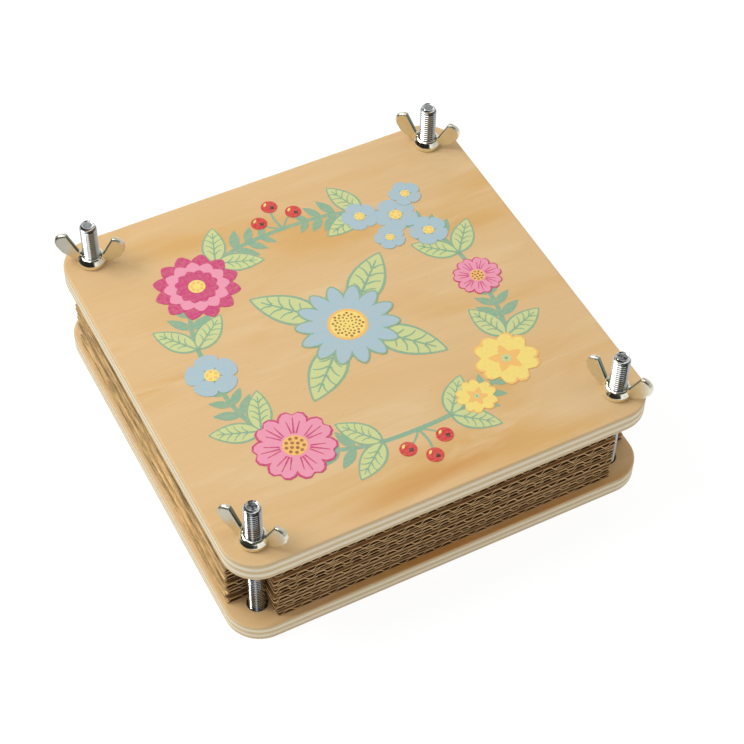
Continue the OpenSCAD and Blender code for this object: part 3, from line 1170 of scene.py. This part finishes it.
def forged_nut(s, material):
    """Mesh of a wing nut on the origin: hub and wings blended, wings matt, with painted shade on their inner
    edges.
    """
    vertices = []
    faces = []
    for points, polygons in (nut_hub(s), nut_wing(s, 1), nut_wing(s, -1)):
        first = len(vertices)
        vertices += points
        faces += [tuple(first + k for k in polygon) for polygon in polygons]
    nut = mesh_piece("nut_forging", vertices, faces, material)
    face_outwards(nut.data)
    blend = nut.modifiers.new("Blend", "REMESH")
    blend.mode = "VOXEL"
    blend.voxel_size = s.grain
    soften = nut.modifiers.new("Soften", "SMOOTH")
    soften.factor = 0.5
    soften.iterations = 9
    bake_modifiers(nut)
    nut.data.shade_smooth()
    # The wings stand clear of the hub from here on, and are matt a little further out
    clear_of_hub = 3.4 * MM
    matt_from = 3.8 * MM
    matt_full = 5.8 * MM
    matt = []
    inner = []
    for v in nut.data.vertices:
        out = abs(v.co.x)
        inward = -v.normal.x * math.copysign(1.0, v.co.x) if out > clear_of_hub else 0.0
        matt.append(min(1.0, max(0.0, (out - matt_from) / (matt_full - matt_from))))
        # Faces that look towards the screw get painted shade
        inner.append(min(0.9, max(0.0, (inward - 0.55) / 0.25)))
    mark_points(nut.data, "matt", matt)
    mark_points(nut.data, "groove", inner)
    return nut


class PRESS_OT_wing_nuts(bpy.types.Operator):
    """Build the four forged wing nuts"""

    bl_idname = "press.make_wing_nuts"
    bl_label = "Wing nuts"

    def execute(self, context):
        s = context.scene.press_nuts
        material = zinc_plate("zinc_plated_forged_nut", s.metal, s.painted_shade_colour, 0.25)
        forging = forged_nut(s, material)
        for corner in CORNERS:
            node = "wing_nut_" + corner
            seat = screw_axis(corner)
            seat.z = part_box(node)[0].z
            nut = forging.copy()
            nut.data = forging.data.copy()
            nut.name = "forged_" + node
            nut.data.name = nut.name
            context.scene.collection.objects.link(nut)
            turn = Matrix.Rotation(math.radians(NUT_TURNS[corner]), 4, "Z")
            nut.data.transform(Matrix.Translation(seat) @ turn)
            nut.data.materials.clear()
            nut.data.materials.append(material)
            hand_over(nut, "nut_" + corner, "zinc_nut", node)
        bpy.data.objects.remove(forging)
        return {"FINISHED"}


# Printed design

INKS = (
    "sage_green", "leaf_green", "pale_blue", "yellow", "light_orange",
    "pink", "magenta", "brown", "red", "black",
)


def petal(reach, width, peak, fullness, notch=0.0, steps=9):
    """Outline of a petal that lies along X from the origin, widest at the share peak of its length."""
    power = math.log(0.5) / math.log(peak)
    upper = []
    for k in range(steps + 1):
        along = 0.5 - 0.5 * math.cos(math.pi * k / steps)
        half = max(0.0, math.sin(math.pi * along ** power)) ** fullness
        x = reach * along
        if along > peak:
            x -= notch * reach * (1 - half) ** 2 * (along - peak) / (1 - peak)
        upper.append(Vector((x, width / 2 * half)))
    lower = [Vector((p.x, -p.y)) for p in upper[1:-1]]
    return [upper[0]] + lower + [upper[-1]] + upper[-2:0:-1]


def stroke(points, start_width, end_width):
    """Outline of a line drawn along points, its width changing from one end to the other."""
    left = []
    right = []
    last = len(points) - 1
    for k, p in enumerate(points):
        ahead = points[min(k + 1, last)] - points[max(k - 1, 0)]
        side = Vector((-ahead.y, ahead.x)).normalized()
        half = (start_width + (end_width - start_width) * k / last) / 2
        left.append(p + side * half)
        right.append(p - side * half)
    return right + left[::-1]


def bow(start, end, bulge, steps=8):
    """Points of a shallow arc from start to end."""
    across = end - start
    side = Vector((-across.y, across.x)) * bulge
    return [start + across * (k / steps) + side * math.sin(math.pi * k / steps) for k in range(steps + 1)]


def leaf_veins(reach, width):
    """Outlines of a leaf's midrib and side veins, none lying on another."""
    shapes = [stroke([ORIGIN, Vector((reach * 0.92, 0.0))], 0.09 * width, 0.04 * width)]
    for k in range(1, 5):
        root = reach * (0.12 + 0.16 * k)
        out = width * 0.36 * math.sin(math.pi * (0.12 + 0.17 * k)) ** 0.7
        for side in (-1, 1):
            start = Vector((root, side * (0.048 - 0.003 * k) * width))
            tip = Vector((root + reach * 0.12, side * out))
            shapes.append(stroke(bow(start, tip, -0.12 * side, 4), 0.055 * width, 0.03 * width))
    return shapes


def inset_petal(reach, width, rim, **shape):
    """A petal's fill, drawn in by the width of its outline."""
    inner = petal(reach - 2.2 * rim, width - 2 * rim, **shape)
    return [p + Vector((1.2 * rim, 0.0)) for p in inner]


def motif_shapes():
    """Outlines of every stamp of the design, in millimetres: name to a list of outlines."""
    leaf = {"peak": 0.42, "fullness": 0.8}
    round_petal = {"peak": 0.66, "fullness": 0.52}
    return {
        "leaf_rim": [petal(19.0, 9.6, steps=12, **leaf)],
        "leaf_fill": [inset_petal(19.0, 9.6, 0.8, steps=12, **leaf)],
        "leaf_veins": leaf_veins(17.4, 9.6),
        "big_leaf_rim": [petal(27.0, 13.4, steps=14, **leaf)],
        "big_leaf_fill": [inset_petal(27.0, 13.4, 1.0, steps=14, **leaf)],
        "big_leaf_veins": leaf_veins(24.6, 13.4),
        "small_leaf": [petal(9.5, 3.8, peak=0.45, fullness=0.9)],
        "sprig_stem": [stroke(bow(ORIGIN, Vector((13.0, 0.0)), 0.08), 1.2, 0.8)],
        "cosmos_rim": [petal(15.4, 10.6, notch=0.16, **round_petal)],
        "cosmos_fill": [inset_petal(15.4, 10.6, 0.75, notch=0.16, **round_petal)],
        "cosmos_lines": [
            stroke([Vector((5.0, 0.0)), Vector((11.6, 0.0))], 0.7, 0.35),
            stroke([Vector((5.0, 0.78)), Vector((10.0, 2.3))], 0.6, 0.3),
            stroke([Vector((5.0, -0.78)), Vector((10.0, -2.3))], 0.6, 0.3),
        ],
        "primrose_rim": [petal(13.0, 13.0, notch=0.3, **round_petal)],
        "primrose_fill": [inset_petal(13.0, 13.0, 0.85, notch=0.3, **round_petal)],
        "primrose_star": [petal(6.6, 3.8, peak=0.4, fullness=0.9)],
        "long_petal_rim": [petal(19.5, 7.0, peak=0.64, fullness=0.55)],
        "long_petal_fill": [inset_petal(19.5, 7.0, 0.7, peak=0.64, fullness=0.55)],
        "small_petal": [petal(6.2, 6.6, **round_petal)],
        "dahlia_outer": [petal(15.4, 7.6, peak=0.62, fullness=0.65)],
        "dahlia_middle": [petal(11.6, 6.2, peak=0.62, fullness=0.65)],
        "dahlia_inner": [petal(7.8, 4.6, peak=0.62, fullness=0.65)],
        "dot": [circle_outline(ORIGIN, 0.62, 18)],
        "disc": [circle_outline(ORIGIN, 5.0, 40)],
        "berry": [circle_outline(ORIGIN, 3.1, 28)],
        "berry_shine": [petal(2.0, 1.0, peak=0.5, fullness=0.7)],
        "berry_tip": [petal(1.5, 1.1, peak=0.5, fullness=0.8)],
    }


def superellipse(reach, turn, power=2.6):
    """Point of the wreath's stem at an angle of its parameter."""
    c = math.cos(turn)
    s = math.sin(turn)
    return Vector((
        reach * math.copysign(abs(c) ** (2 / power), c),
        reach * math.copysign(abs(s) ** (2 / power), s),
    ))


def wreath_path(reach, count):
    """Points at even distances along the wreath's stem."""
    samples = 720
    fine = [superellipse(reach, 2 * math.pi * k / samples) for k in range(samples)]
    lengths = [0.0]
    for k in range(samples):
        lengths.append(lengths[-1] + (fine[(k + 1) % samples] - fine[k]).length)
    points = []
    k = 0
    for n in range(count):
        goal = lengths[-1] * n / count
        while lengths[k + 1] < goal:
            k += 1
        between = (goal - lengths[k]) / (lengths[k + 1] - lengths[k])
        points.append(fine[k].lerp(fine[(k + 1) % samples], between))
    return points


def wreath_ring(reach, width):
    """Outline of the whole stem: out along one side and back along the other, with a hairline gap."""
    path = wreath_path(reach, 160)
    path.append(path[0])
    return stroke(path, width, width)


class Design:
    """Stamps of the printed wreath: for each ink a list of (motif, place, turn, scale, coat)."""

    def __init__(self):
        self.stamps = {ink: [] for ink in INKS}

    def stamp(self, ink, motif, place, turn=0.0, scale=1.0, coat=0):
        """One print of a motif."""
        self.stamps[ink].append((motif, place, turn, scale, coat))

    def ring(self, ink, motif, place, count, start=0.0, scale=1.0, coat=0, offset=0.0):
        """A motif repeated round a place."""
        for k in range(count):
            turn = start + 2 * math.pi * k / count
            spot = place + Vector(on_circle(offset * scale, turn))
            self.stamp(ink, motif, spot, turn, scale, coat)

    def leaf(self, place, turn, scale=1.0, kind="leaf"):
        """A light green leaf with sage outline and veins."""
        self.stamp("sage_green", kind + "_rim", place, turn, scale, 0)
        self.stamp("leaf_green", kind + "_fill", place, turn, scale, 1)
        self.stamp("sage_green", kind + "_veins", place, turn, scale, 2)

    def cosmos(self, place, turn, scale):
        """Seven pink petals with magenta outlines and lines."""
        self.ring("magenta", "cosmos_rim", place, 7, turn, scale, 4)
        self.ring("pink", "cosmos_fill", place, 7, turn, scale, 5)
        self.ring("magenta", "cosmos_lines", place, 7, turn, scale, 6)
        self.stamp("light_orange", "disc", place, 0.0, 0.84 * scale, 7)
        self.ring("brown", "dot", place, 9, turn, scale, 8, 3.0)
        self.ring("brown", "dot", place, 4, turn, scale, 8, 1.3)

    def primrose(self, place, turn, scale):
        """Five yellow petals, notched, with an orange star."""
        self.ring("light_orange", "primrose_rim", place, 5, turn, scale, 4)
        self.ring("yellow", "primrose_fill", place, 5, turn, scale, 5)
        self.ring("light_orange", "primrose_star", place, 5, turn, scale, 6)
        self.stamp("leaf_green", "disc", place, 0.0, 0.36 * scale, 7)
        self.stamp("sage_green", "dot", place, 0.0, scale, 8)

    def forget_me_not(self, place, turn, scale, coat=5):
        """Five round blue petals with a yellow eye."""
        self.ring("pale_blue", "small_petal", place, 5, turn, scale, coat, 0.9)
        self.stamp("yellow", "disc", place, 0.0, 0.4 * scale, 8)
        self.ring("light_orange", "dot", place, 5, turn, 0.7 * scale, 9, 1.8)

    def dahlia(self, place, turn, scale):
        """Three rings of pointed petals, magenta and pink by turns."""
        step = math.pi / 12
        self.ring("magenta", "dahlia_outer", place, 12, turn, scale, 4)
        self.ring("pink", "dahlia_middle", place, 12, turn + step, scale, 5)
        self.ring("magenta", "dahlia_inner", place, 12, turn, scale, 6)
        self.stamp("yellow", "disc", place, 0.0, 0.6 * scale, 7)
        self.ring("light_orange", "dot", place, 7, turn, scale, 8, 1.9)

    def berries(self, place, turn, scale):
        """Three red berries on a forked stem."""
        for angle, reach in ((-0.85, 9.5), (0.0, 12.5), (0.85, 9.5)):
            tip = turn + angle
            end = place + Vector(on_circle(reach * scale, tip))
            self.stamp("sage_green", "sprig_stem", place, tip, reach / 13 * scale, 0)
            self.stamp("red", "berry", end, 0.0, scale, 4)
            self.stamp("yellow", "berry_shine", end + Vector((-1.7, 0.9)) * scale, 0.8, scale, 5)
            self.ring("black", "berry_tip", end + Vector((0.8, -0.8)) * scale, 4, 0.4, 0.7 * scale, 5)

    def daisy(self, place, scale):
        """A large blue daisy with a seeded yellow disc."""
        self.ring("sage_green", "long_petal_rim", place, 14, 0.1, scale, 4)
        self.ring("pale_blue", "long_petal_fill", place, 14, 0.1, scale, 5)
        self.stamp("light_orange", "disc", place, 0.0, 1.5 * scale, 6)
        self.stamp("yellow", "disc", place, 0.0, 1.28 * scale, 7)
        # The seeds stand in a sunflower's spiral, the outer ones larger
        seeds = 49
        golden = math.pi * (3 - math.sqrt(5))
        for k in range(1, seeds + 1):
            spot = place + Vector(on_circle(5.7 * scale * math.sqrt(k / seeds), k * golden))
            self.stamp("brown", "dot", spot, 0.0, (0.5 + 0.35 * k / seeds) * scale, 8)


def wreath_design(reach):
    """Lay out the wreath, its blooms and the daisy in its middle."""
    d = Design()
    steps = 320
    path = wreath_path(reach, steps)
    # Leaves between the blooms, pointing from the lowest berries up both sides to the highest
    sprig = (
        (-0.024, "leaf", 0.92, 0.78), (0.002, "small_leaf", 1.0, 0.95),
        (0.019, "small_leaf", 0.85, 0.9), (0.035, "small_leaf", 0.7, 0.85),
    )
    for gap in range(8):
        middle = (gap + 0.5) / 8
        flow = 1 if middle < 0.25 or middle > 0.75 else -1
        for shift, kind, scale, spread in sprig:
            k = round((middle + flow * shift) * steps)
            ahead = (path[(k + 1) % steps] - path[k - 1]) * flow
            along = math.atan2(ahead.y, ahead.x)
            for side in (-1, 1):
                if kind == "leaf":
                    d.leaf(path[k], along + side * spread, scale)
                else:
                    d.stamp("sage_green", kind, path[k], along + side * spread, scale)
    spots = [superellipse(reach, math.pi * k / 4) for k in range(8)]
    east, north_east, north, north_west, west, south_west, south, south_east = spots
    d.cosmos(south_west, 0.3, 1.0)
    d.primrose(south_east + Vector((2.0, 1.5)), 0.2, 0.95)
    d.primrose(south_east + Vector((-15.0, -8.5)), 0.9, 0.6)
    d.dahlia(north_west, 0.0, 1.0)
    # Five in a cluster, each in a coat of its own
    cluster = ((0, 0, 1.15), (-12, 5, 0.95), (7, -12, 1.0), (-7, -9, 0.8), (8, 8, 0.85))
    for k, (x, y, scale) in enumerate(cluster):
        d.forget_me_not(north_east + Vector((x, y)), 0.4 * scale, scale, 3 + k)
    d.berries(north, math.pi / 2, 0.95)
    d.berries(south, -math.pi / 2, 0.95)
    d.cosmos(east, 0.9, 0.62)
    d.forget_me_not(west, 0.2, 1.3)
    for quarter in range(4):
        turn = math.pi / 4 + quarter * math.pi / 2
        d.leaf(Vector(on_circle(9.0, turn)), turn, 1.0, "big_leaf")
    d.daisy(ORIGIN, 0.95)
    return d


def printing_ink(name, tint, wood):
    """Screen-printing ink on lacquered wood: matt and opaque, a little thin where the grain rises."""
    material, tree, place = new_material("screen_ink_" + name)
    # The same fibres, 0.35 mm wide, as in the board below, and blotches 1 mm wide
    fibre = stretched_noise(tree, place, (55, 2800, 2800), roughness=0.7)
    blotch = stretched_noise(tree, place, (900, 900, 900), detail=3.0)
    mixed = add_node(tree, "ShaderNodeMath", {0: fibre, 1: blotch}, operation="ADD")
    base = lay_over(tree, tint, wood, mixed, 0.85, 1.3, 0.28)
    finish_surface(tree, base, fibre, 0.1, 0.05 * MM, {"Roughness": 0.55, "Specular IOR Level": 0.35})
    return material


def slab(name, outlines, thickness):
    """Closed thin slabs below height zero, in millimetres turned to metres."""
    vertices = []
    faces = []
    for outline in outlines:
        first = len(vertices)
        count = len(outline)
        for height in (-thickness, 0.0):
            vertices += [(p.x * MM, p.y * MM, height) for p in outline]
        faces.append(tuple(first + k for k in reversed(range(count))))
        faces.append(tuple(first + count + k for k in range(count)))
        stitch_rings(faces, first, first + count, count)
    return mesh_piece(name, vertices, faces)


def stamping_tree(collection):
    """Geometry Nodes tree that sets a motif of a collection on each point, by its motif, turn and scale."""
    tree, i = new_geometry_tree("Stamp motifs", ("Ink",), "NodeSocketMaterial")
    motifs = add_node(
        tree, "GeometryNodeCollectionInfo",
        {"Collection": collection, "Separate Children": True, "Reset Children": True},
    )
    index, turn, size = (
        add_node(tree, "GeometryNodeInputNamedAttribute", {"Name": mark}, data_type=kind)
        for mark, kind in (("motif", "INT"), ("turn", "FLOAT"), ("size", "FLOAT"))
    )
    stamped = add_node(
        tree, "GeometryNodeInstanceOnPoints",
        {
            "Points": i["Geometry"], "Instance": motifs, "Pick Instance": True, "Instance Index": index,
            "Rotation": add_node(tree, "ShaderNodeCombineXYZ", {"Z": turn}),
            "Scale": add_node(tree, "ShaderNodeCombineXYZ", {"X": size, "Y": size, "Z": 1.0}),
        },
    )
    end_geometry_tree(tree, stamped, i["Ink"])
    return tree


class PRESS_OT_printed_design(bpy.types.Operator):
    """Print the wreath on the top board, one piece for each ink"""

    bl_idname = "press.print_design"
    bl_label = "Printed design"

    def execute(self, context):
        s = context.scene.press_print
        wood = context.scene.press_boards.face
        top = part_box("top_board")[1].z
        reach = s.wreath_reach / MM
        shapes = motif_shapes()
        shapes["wreath_stem"] = [wreath_ring(reach, s.stem_width / MM)]
        design = wreath_design(reach)
        # The stem lies under every other coat
        design.stamp("sage_green", "wreath_stem", ORIGIN, coat=-0.95)
        shelf = bpy.data.collections.new("motifs")
        context.scene.collection.children.link(shelf)
        names = sorted(shapes)
        coats = 12
        for number, name in enumerate(names):
            motif = slab(f"motif_{number:02d}", shapes[name], coats * s.ink_thickness)
            context.scene.collection.objects.unlink(motif)
            shelf.objects.link(motif)
        tree = stamping_tree(shelf)
        # Neighbours in one coat differ a little in height, so that none lies exactly in another
        hair = s.ink_thickness / 8
        for ink in INKS:
            motifs, places, turns, scales, levels = zip(*design.stamps[ink])
            points = [
                (place.x * MM, place.y * MM, top + (level + 1) * s.ink_thickness + order % 7 * hair)
                for order, (place, level) in enumerate(zip(places, levels))
            ]
            piece = mesh_piece("print_" + ink, points, [])
            mark_points(piece.data, "motif", [names.index(motif) for motif in motifs], "INT")
            mark_points(piece.data, "turn", turns)
            mark_points(piece.data, "size", scales)
            run_nodes(piece, tree, ink=printing_ink(ink, getattr(s, ink), wood))
            hand_over(piece, "lid", "printed_ink")
        for motif in list(shelf.objects):
            bpy.data.objects.remove(motif)
        bpy.data.collections.remove(shelf)
        return {"FINISHED"}


# Stage

# The camera stands 28 degrees to the left of the front and 50 degrees up, the panel at the back left
CAMERA_RIGHT = (0.8884, -0.4588, 0.0136)
CAMERA_FORWARD = (0.3032, 0.5645, -0.7677)
KEY_PANEL_SIZE = (0.7, 0.5)
KEY_PANEL_PLACE = (-0.62, 0.45, 0.85)
KEY_PANEL_TARGET = (0.0, 0.0, 0.02)


def seen_directly(tree):
    """Whether a ray is a mirrored one, and whether it comes to the camera straight or through glass."""
    path = add_node(tree, "ShaderNodeLightPath").outputs
    clear = add_node(
        tree, "ShaderNodeMath", {0: path["Is Camera Ray"], 1: path["Is Transmission Ray"]},
        operation="MAXIMUM",
    )
    return path["Is Glossy Ray"], clear


def level_towards(tree, vector, direction, begins, full, outside, inside, smooth=True):
    """A level of light that changes from outside to inside as a vector runs along a direction."""
    along = add_node(tree, "ShaderNodeVectorMath", {0: vector, 1: direction}, operation="DOT_PRODUCT")
    return add_node(
        tree, "ShaderNodeMapRange",
        {
            "Value": along.outputs["Value"], "From Min": begins, "From Max": full, "To Min": outside,
            "To Max": inside,
        },
        interpolation_type="SMOOTHSTEP" if smooth else "LINEAR",
    )


def surroundings(level):
    """Photo studio round the press: white to the camera, with dark parts of the room for the metal."""
    world = bpy.data.worlds.new("white_studio")
    world.use_nodes = True
    tree = world.node_tree
    tree.nodes.clear()
    ray = add_node(tree, "ShaderNodeTexCoord").outputs["Generated"]
    # Each part of the room: its direction, the cosines from it at which the part begins and is full, and
    # its share of light
    room = {
        "left of the camera": ((-0.965, -0.254, -0.3), 0.2, 0.34, 0.02),
        "lamp on the left": ((-0.447, 0.013, 0.89), 0.925, 0.965, 2.4),
        "ceiling before the press": ((0.102, -0.582, 0.807), 0.835, 0.925, 0.08),
        "wall behind": ((0.304, 0.566, 0.766), 0.88, 0.96, 0.4),
        "right side": ((0.914, -0.308, 0.257), 0.3, 0.9, 0.6),
    }
    studio = 1.0
    for direction, begins, full, light in room.values():
        part = level_towards(tree, ray, direction, begins, full, 1.0, light)
        studio = add_node(tree, "ShaderNodeMath", {0: studio, 1: part}, operation="MULTIPLY")
    # Matt surfaces see a softer room, darker low on the camera's side and brighter near the horizon
    soft = level_towards(tree, ray, (-0.473, -0.881, -0.9), 0.0, 0.2, 1.0, 0.46)
    height = add_node(tree, "ShaderNodeSeparateXYZ", {0: ray}).outputs["Z"]
    low = add_node(
        tree, "ShaderNodeMapRange", {"Value": height, "To Min": 1.15 * level, "To Max": 0.92 * level}
    )
    soft = add_node(tree, "ShaderNodeMath", {0: soft, 1: low}, operation="MULTIPLY")
    mirrored, clear = seen_directly(tree)
    strength = add_node(tree, "ShaderNodeMix", {"Factor": mirrored, "A": soft, "B": studio})
    strength = add_node(tree, "ShaderNodeMix", {"Factor": clear, "A": strength, "B": 1.0})
    light = add_node(tree, "ShaderNodeBackground", {"Color": WHITE, "Strength": strength})
    add_node(tree, "ShaderNodeOutputWorld", {"Surface": light})
    return world


def studio_floor(s):
    """White paper sweep: white to the camera but for a faint shadow, dimmer in metal, bright to the wood."""
    material, tree, place = new_material("white_paper_sweep")
    mirrored, clear = seen_directly(tree)
    paper = add_node(tree, "ShaderNodeBsdfDiffuse", {"Color": s.floor})
    # Metal sees the sweep fade out on the left, where the room behind it is dark
    faded = level_towards(tree, place, (-0.94, 0.34, 0.0), 0.02, 0.26, 0.95, 0.03, smooth=False)
    # A little more than white, so that only the shadow stays below white
    over_white = 1.12
    white, fill, metal = (
        add_node(tree, "ShaderNodeEmission", {"Color": WHITE, "Strength": strength})
        for strength in (over_white, s.floor_fill, faded)
    )
    shadowed = add_node(tree, "ShaderNodeMixShader", {0: 1.0 - s.shadow, 1: paper, 2: white})
    lit = add_node(tree, "ShaderNodeAddShader", {0: paper, 1: fill})
    for ray, seen in ((mirrored, metal), (clear, shadowed)):
        lit = add_node(tree, "ShaderNodeMixShader", {0: ray, 1: lit, 2: seen})
    add_node(tree, "ShaderNodeOutputMaterial", {"Surface": lit})
    return material


def aim(thing, place, target):
    """Put a lamp at a place and point it at a target."""
    direction = Vector(target) - Vector(place)
    thing.rotation_euler = direction.to_track_quat("-Z", "Y").to_euler()
    thing.location = place


class PRESS_OT_stage(bpy.types.Operator):
    """Set up the camera, the floor, the lamp and the surroundings"""

    bl_idname = "press.set_stage"
    bl_label = "Stage"

    def execute(self, context):
        s = context.scene.press_stage
        scene = context.scene
        camera = bpy.data.objects.new("camera", bpy.data.cameras.new("camera"))
        scene.collection.objects.link(camera)
        camera.data.sensor_width = 36.0
        camera.data.lens = s.focal_length
        right = Vector(CAMERA_RIGHT).normalized()
        forward = Vector(CAMERA_FORWARD).normalized()
        up = right.cross(forward).normalized()
        pose = Matrix((right, up, -forward)).transposed().to_4x4()
        camera.matrix_world = Matrix.Translation(Vector(s.camera_place)) @ pose
        scene.camera = camera

        reach = 4.0
        ground = CAD_BOX[0][2]
        corners = [(x * reach, y * reach, ground) for x, y in ((-1, -1), (1, -1), (1, 1), (-1, 1))]
        floor = mesh_piece("floor", corners, [(0, 1, 2, 3)], studio_floor(s))

        lamp = bpy.data.lights.new("key_panel", "AREA")
        lamp.shape = "RECTANGLE"
        lamp.size, lamp.size_y = KEY_PANEL_SIZE
        lamp.energy = s.key_power
        key = bpy.data.objects.new("key_panel", lamp)
        scene.collection.objects.link(key)
        aim(key, KEY_PANEL_PLACE, KEY_PANEL_TARGET)

        scene.world = surroundings(s.sky_level)
        scene.view_settings.view_transform = "Standard"
        return {"FINISHED"}


OPERATORS = (
    PRESS_OT_boards,
    PRESS_OT_cards,
    PRESS_OT_blotting_sheets,
    PRESS_OT_screws,
    PRESS_OT_wing_nuts,
    PRESS_OT_printed_design,
    PRESS_OT_stage,
)


class PRESS_PT_panel(bpy.types.Panel):
    """Flower press"""

    bl_idname = "PRESS_PT_panel"
    bl_label = "Flower Press"
    bl_space_type = "VIEW_3D"
    bl_region_type = "UI"
    bl_category = "Flower Press"

    def draw(self, context):
        for operator in OPERATORS:
            self.layout.operator(operator.bl_idname)
        for name, group in SETTINGS.items():
            box = self.layout.box()
            box.label(text=group.__doc__)
            for prop in group.__annotations__:
                box.prop(getattr(context.scene, name), prop)


def register():
    """Register the settings, operators and panel."""
    for name, group in SETTINGS.items():
        bpy.utils.register_class(group)
        setattr(bpy.types.Scene, name, PointerProperty(type=group))
    for operator in OPERATORS:
        bpy.utils.register_class(operator)
    bpy.utils.register_class(PRESS_PT_panel)


def unregister():
    """Undo register."""
    bpy.utils.unregister_class(PRESS_PT_panel)
    for operator in reversed(OPERATORS):
        bpy.utils.unregister_class(operator)
    for name, group in reversed(SETTINGS.items()):
        delattr(bpy.types.Scene, name)
        bpy.utils.unregister_class(group)


def main():
    """Build everything around the frame."""
    register()
    for operator in OPERATORS:
        group, call = operator.bl_idname.split(".")
        getattr(getattr(bpy.ops, group), call)()


if __name__ == "__main__":
    main()
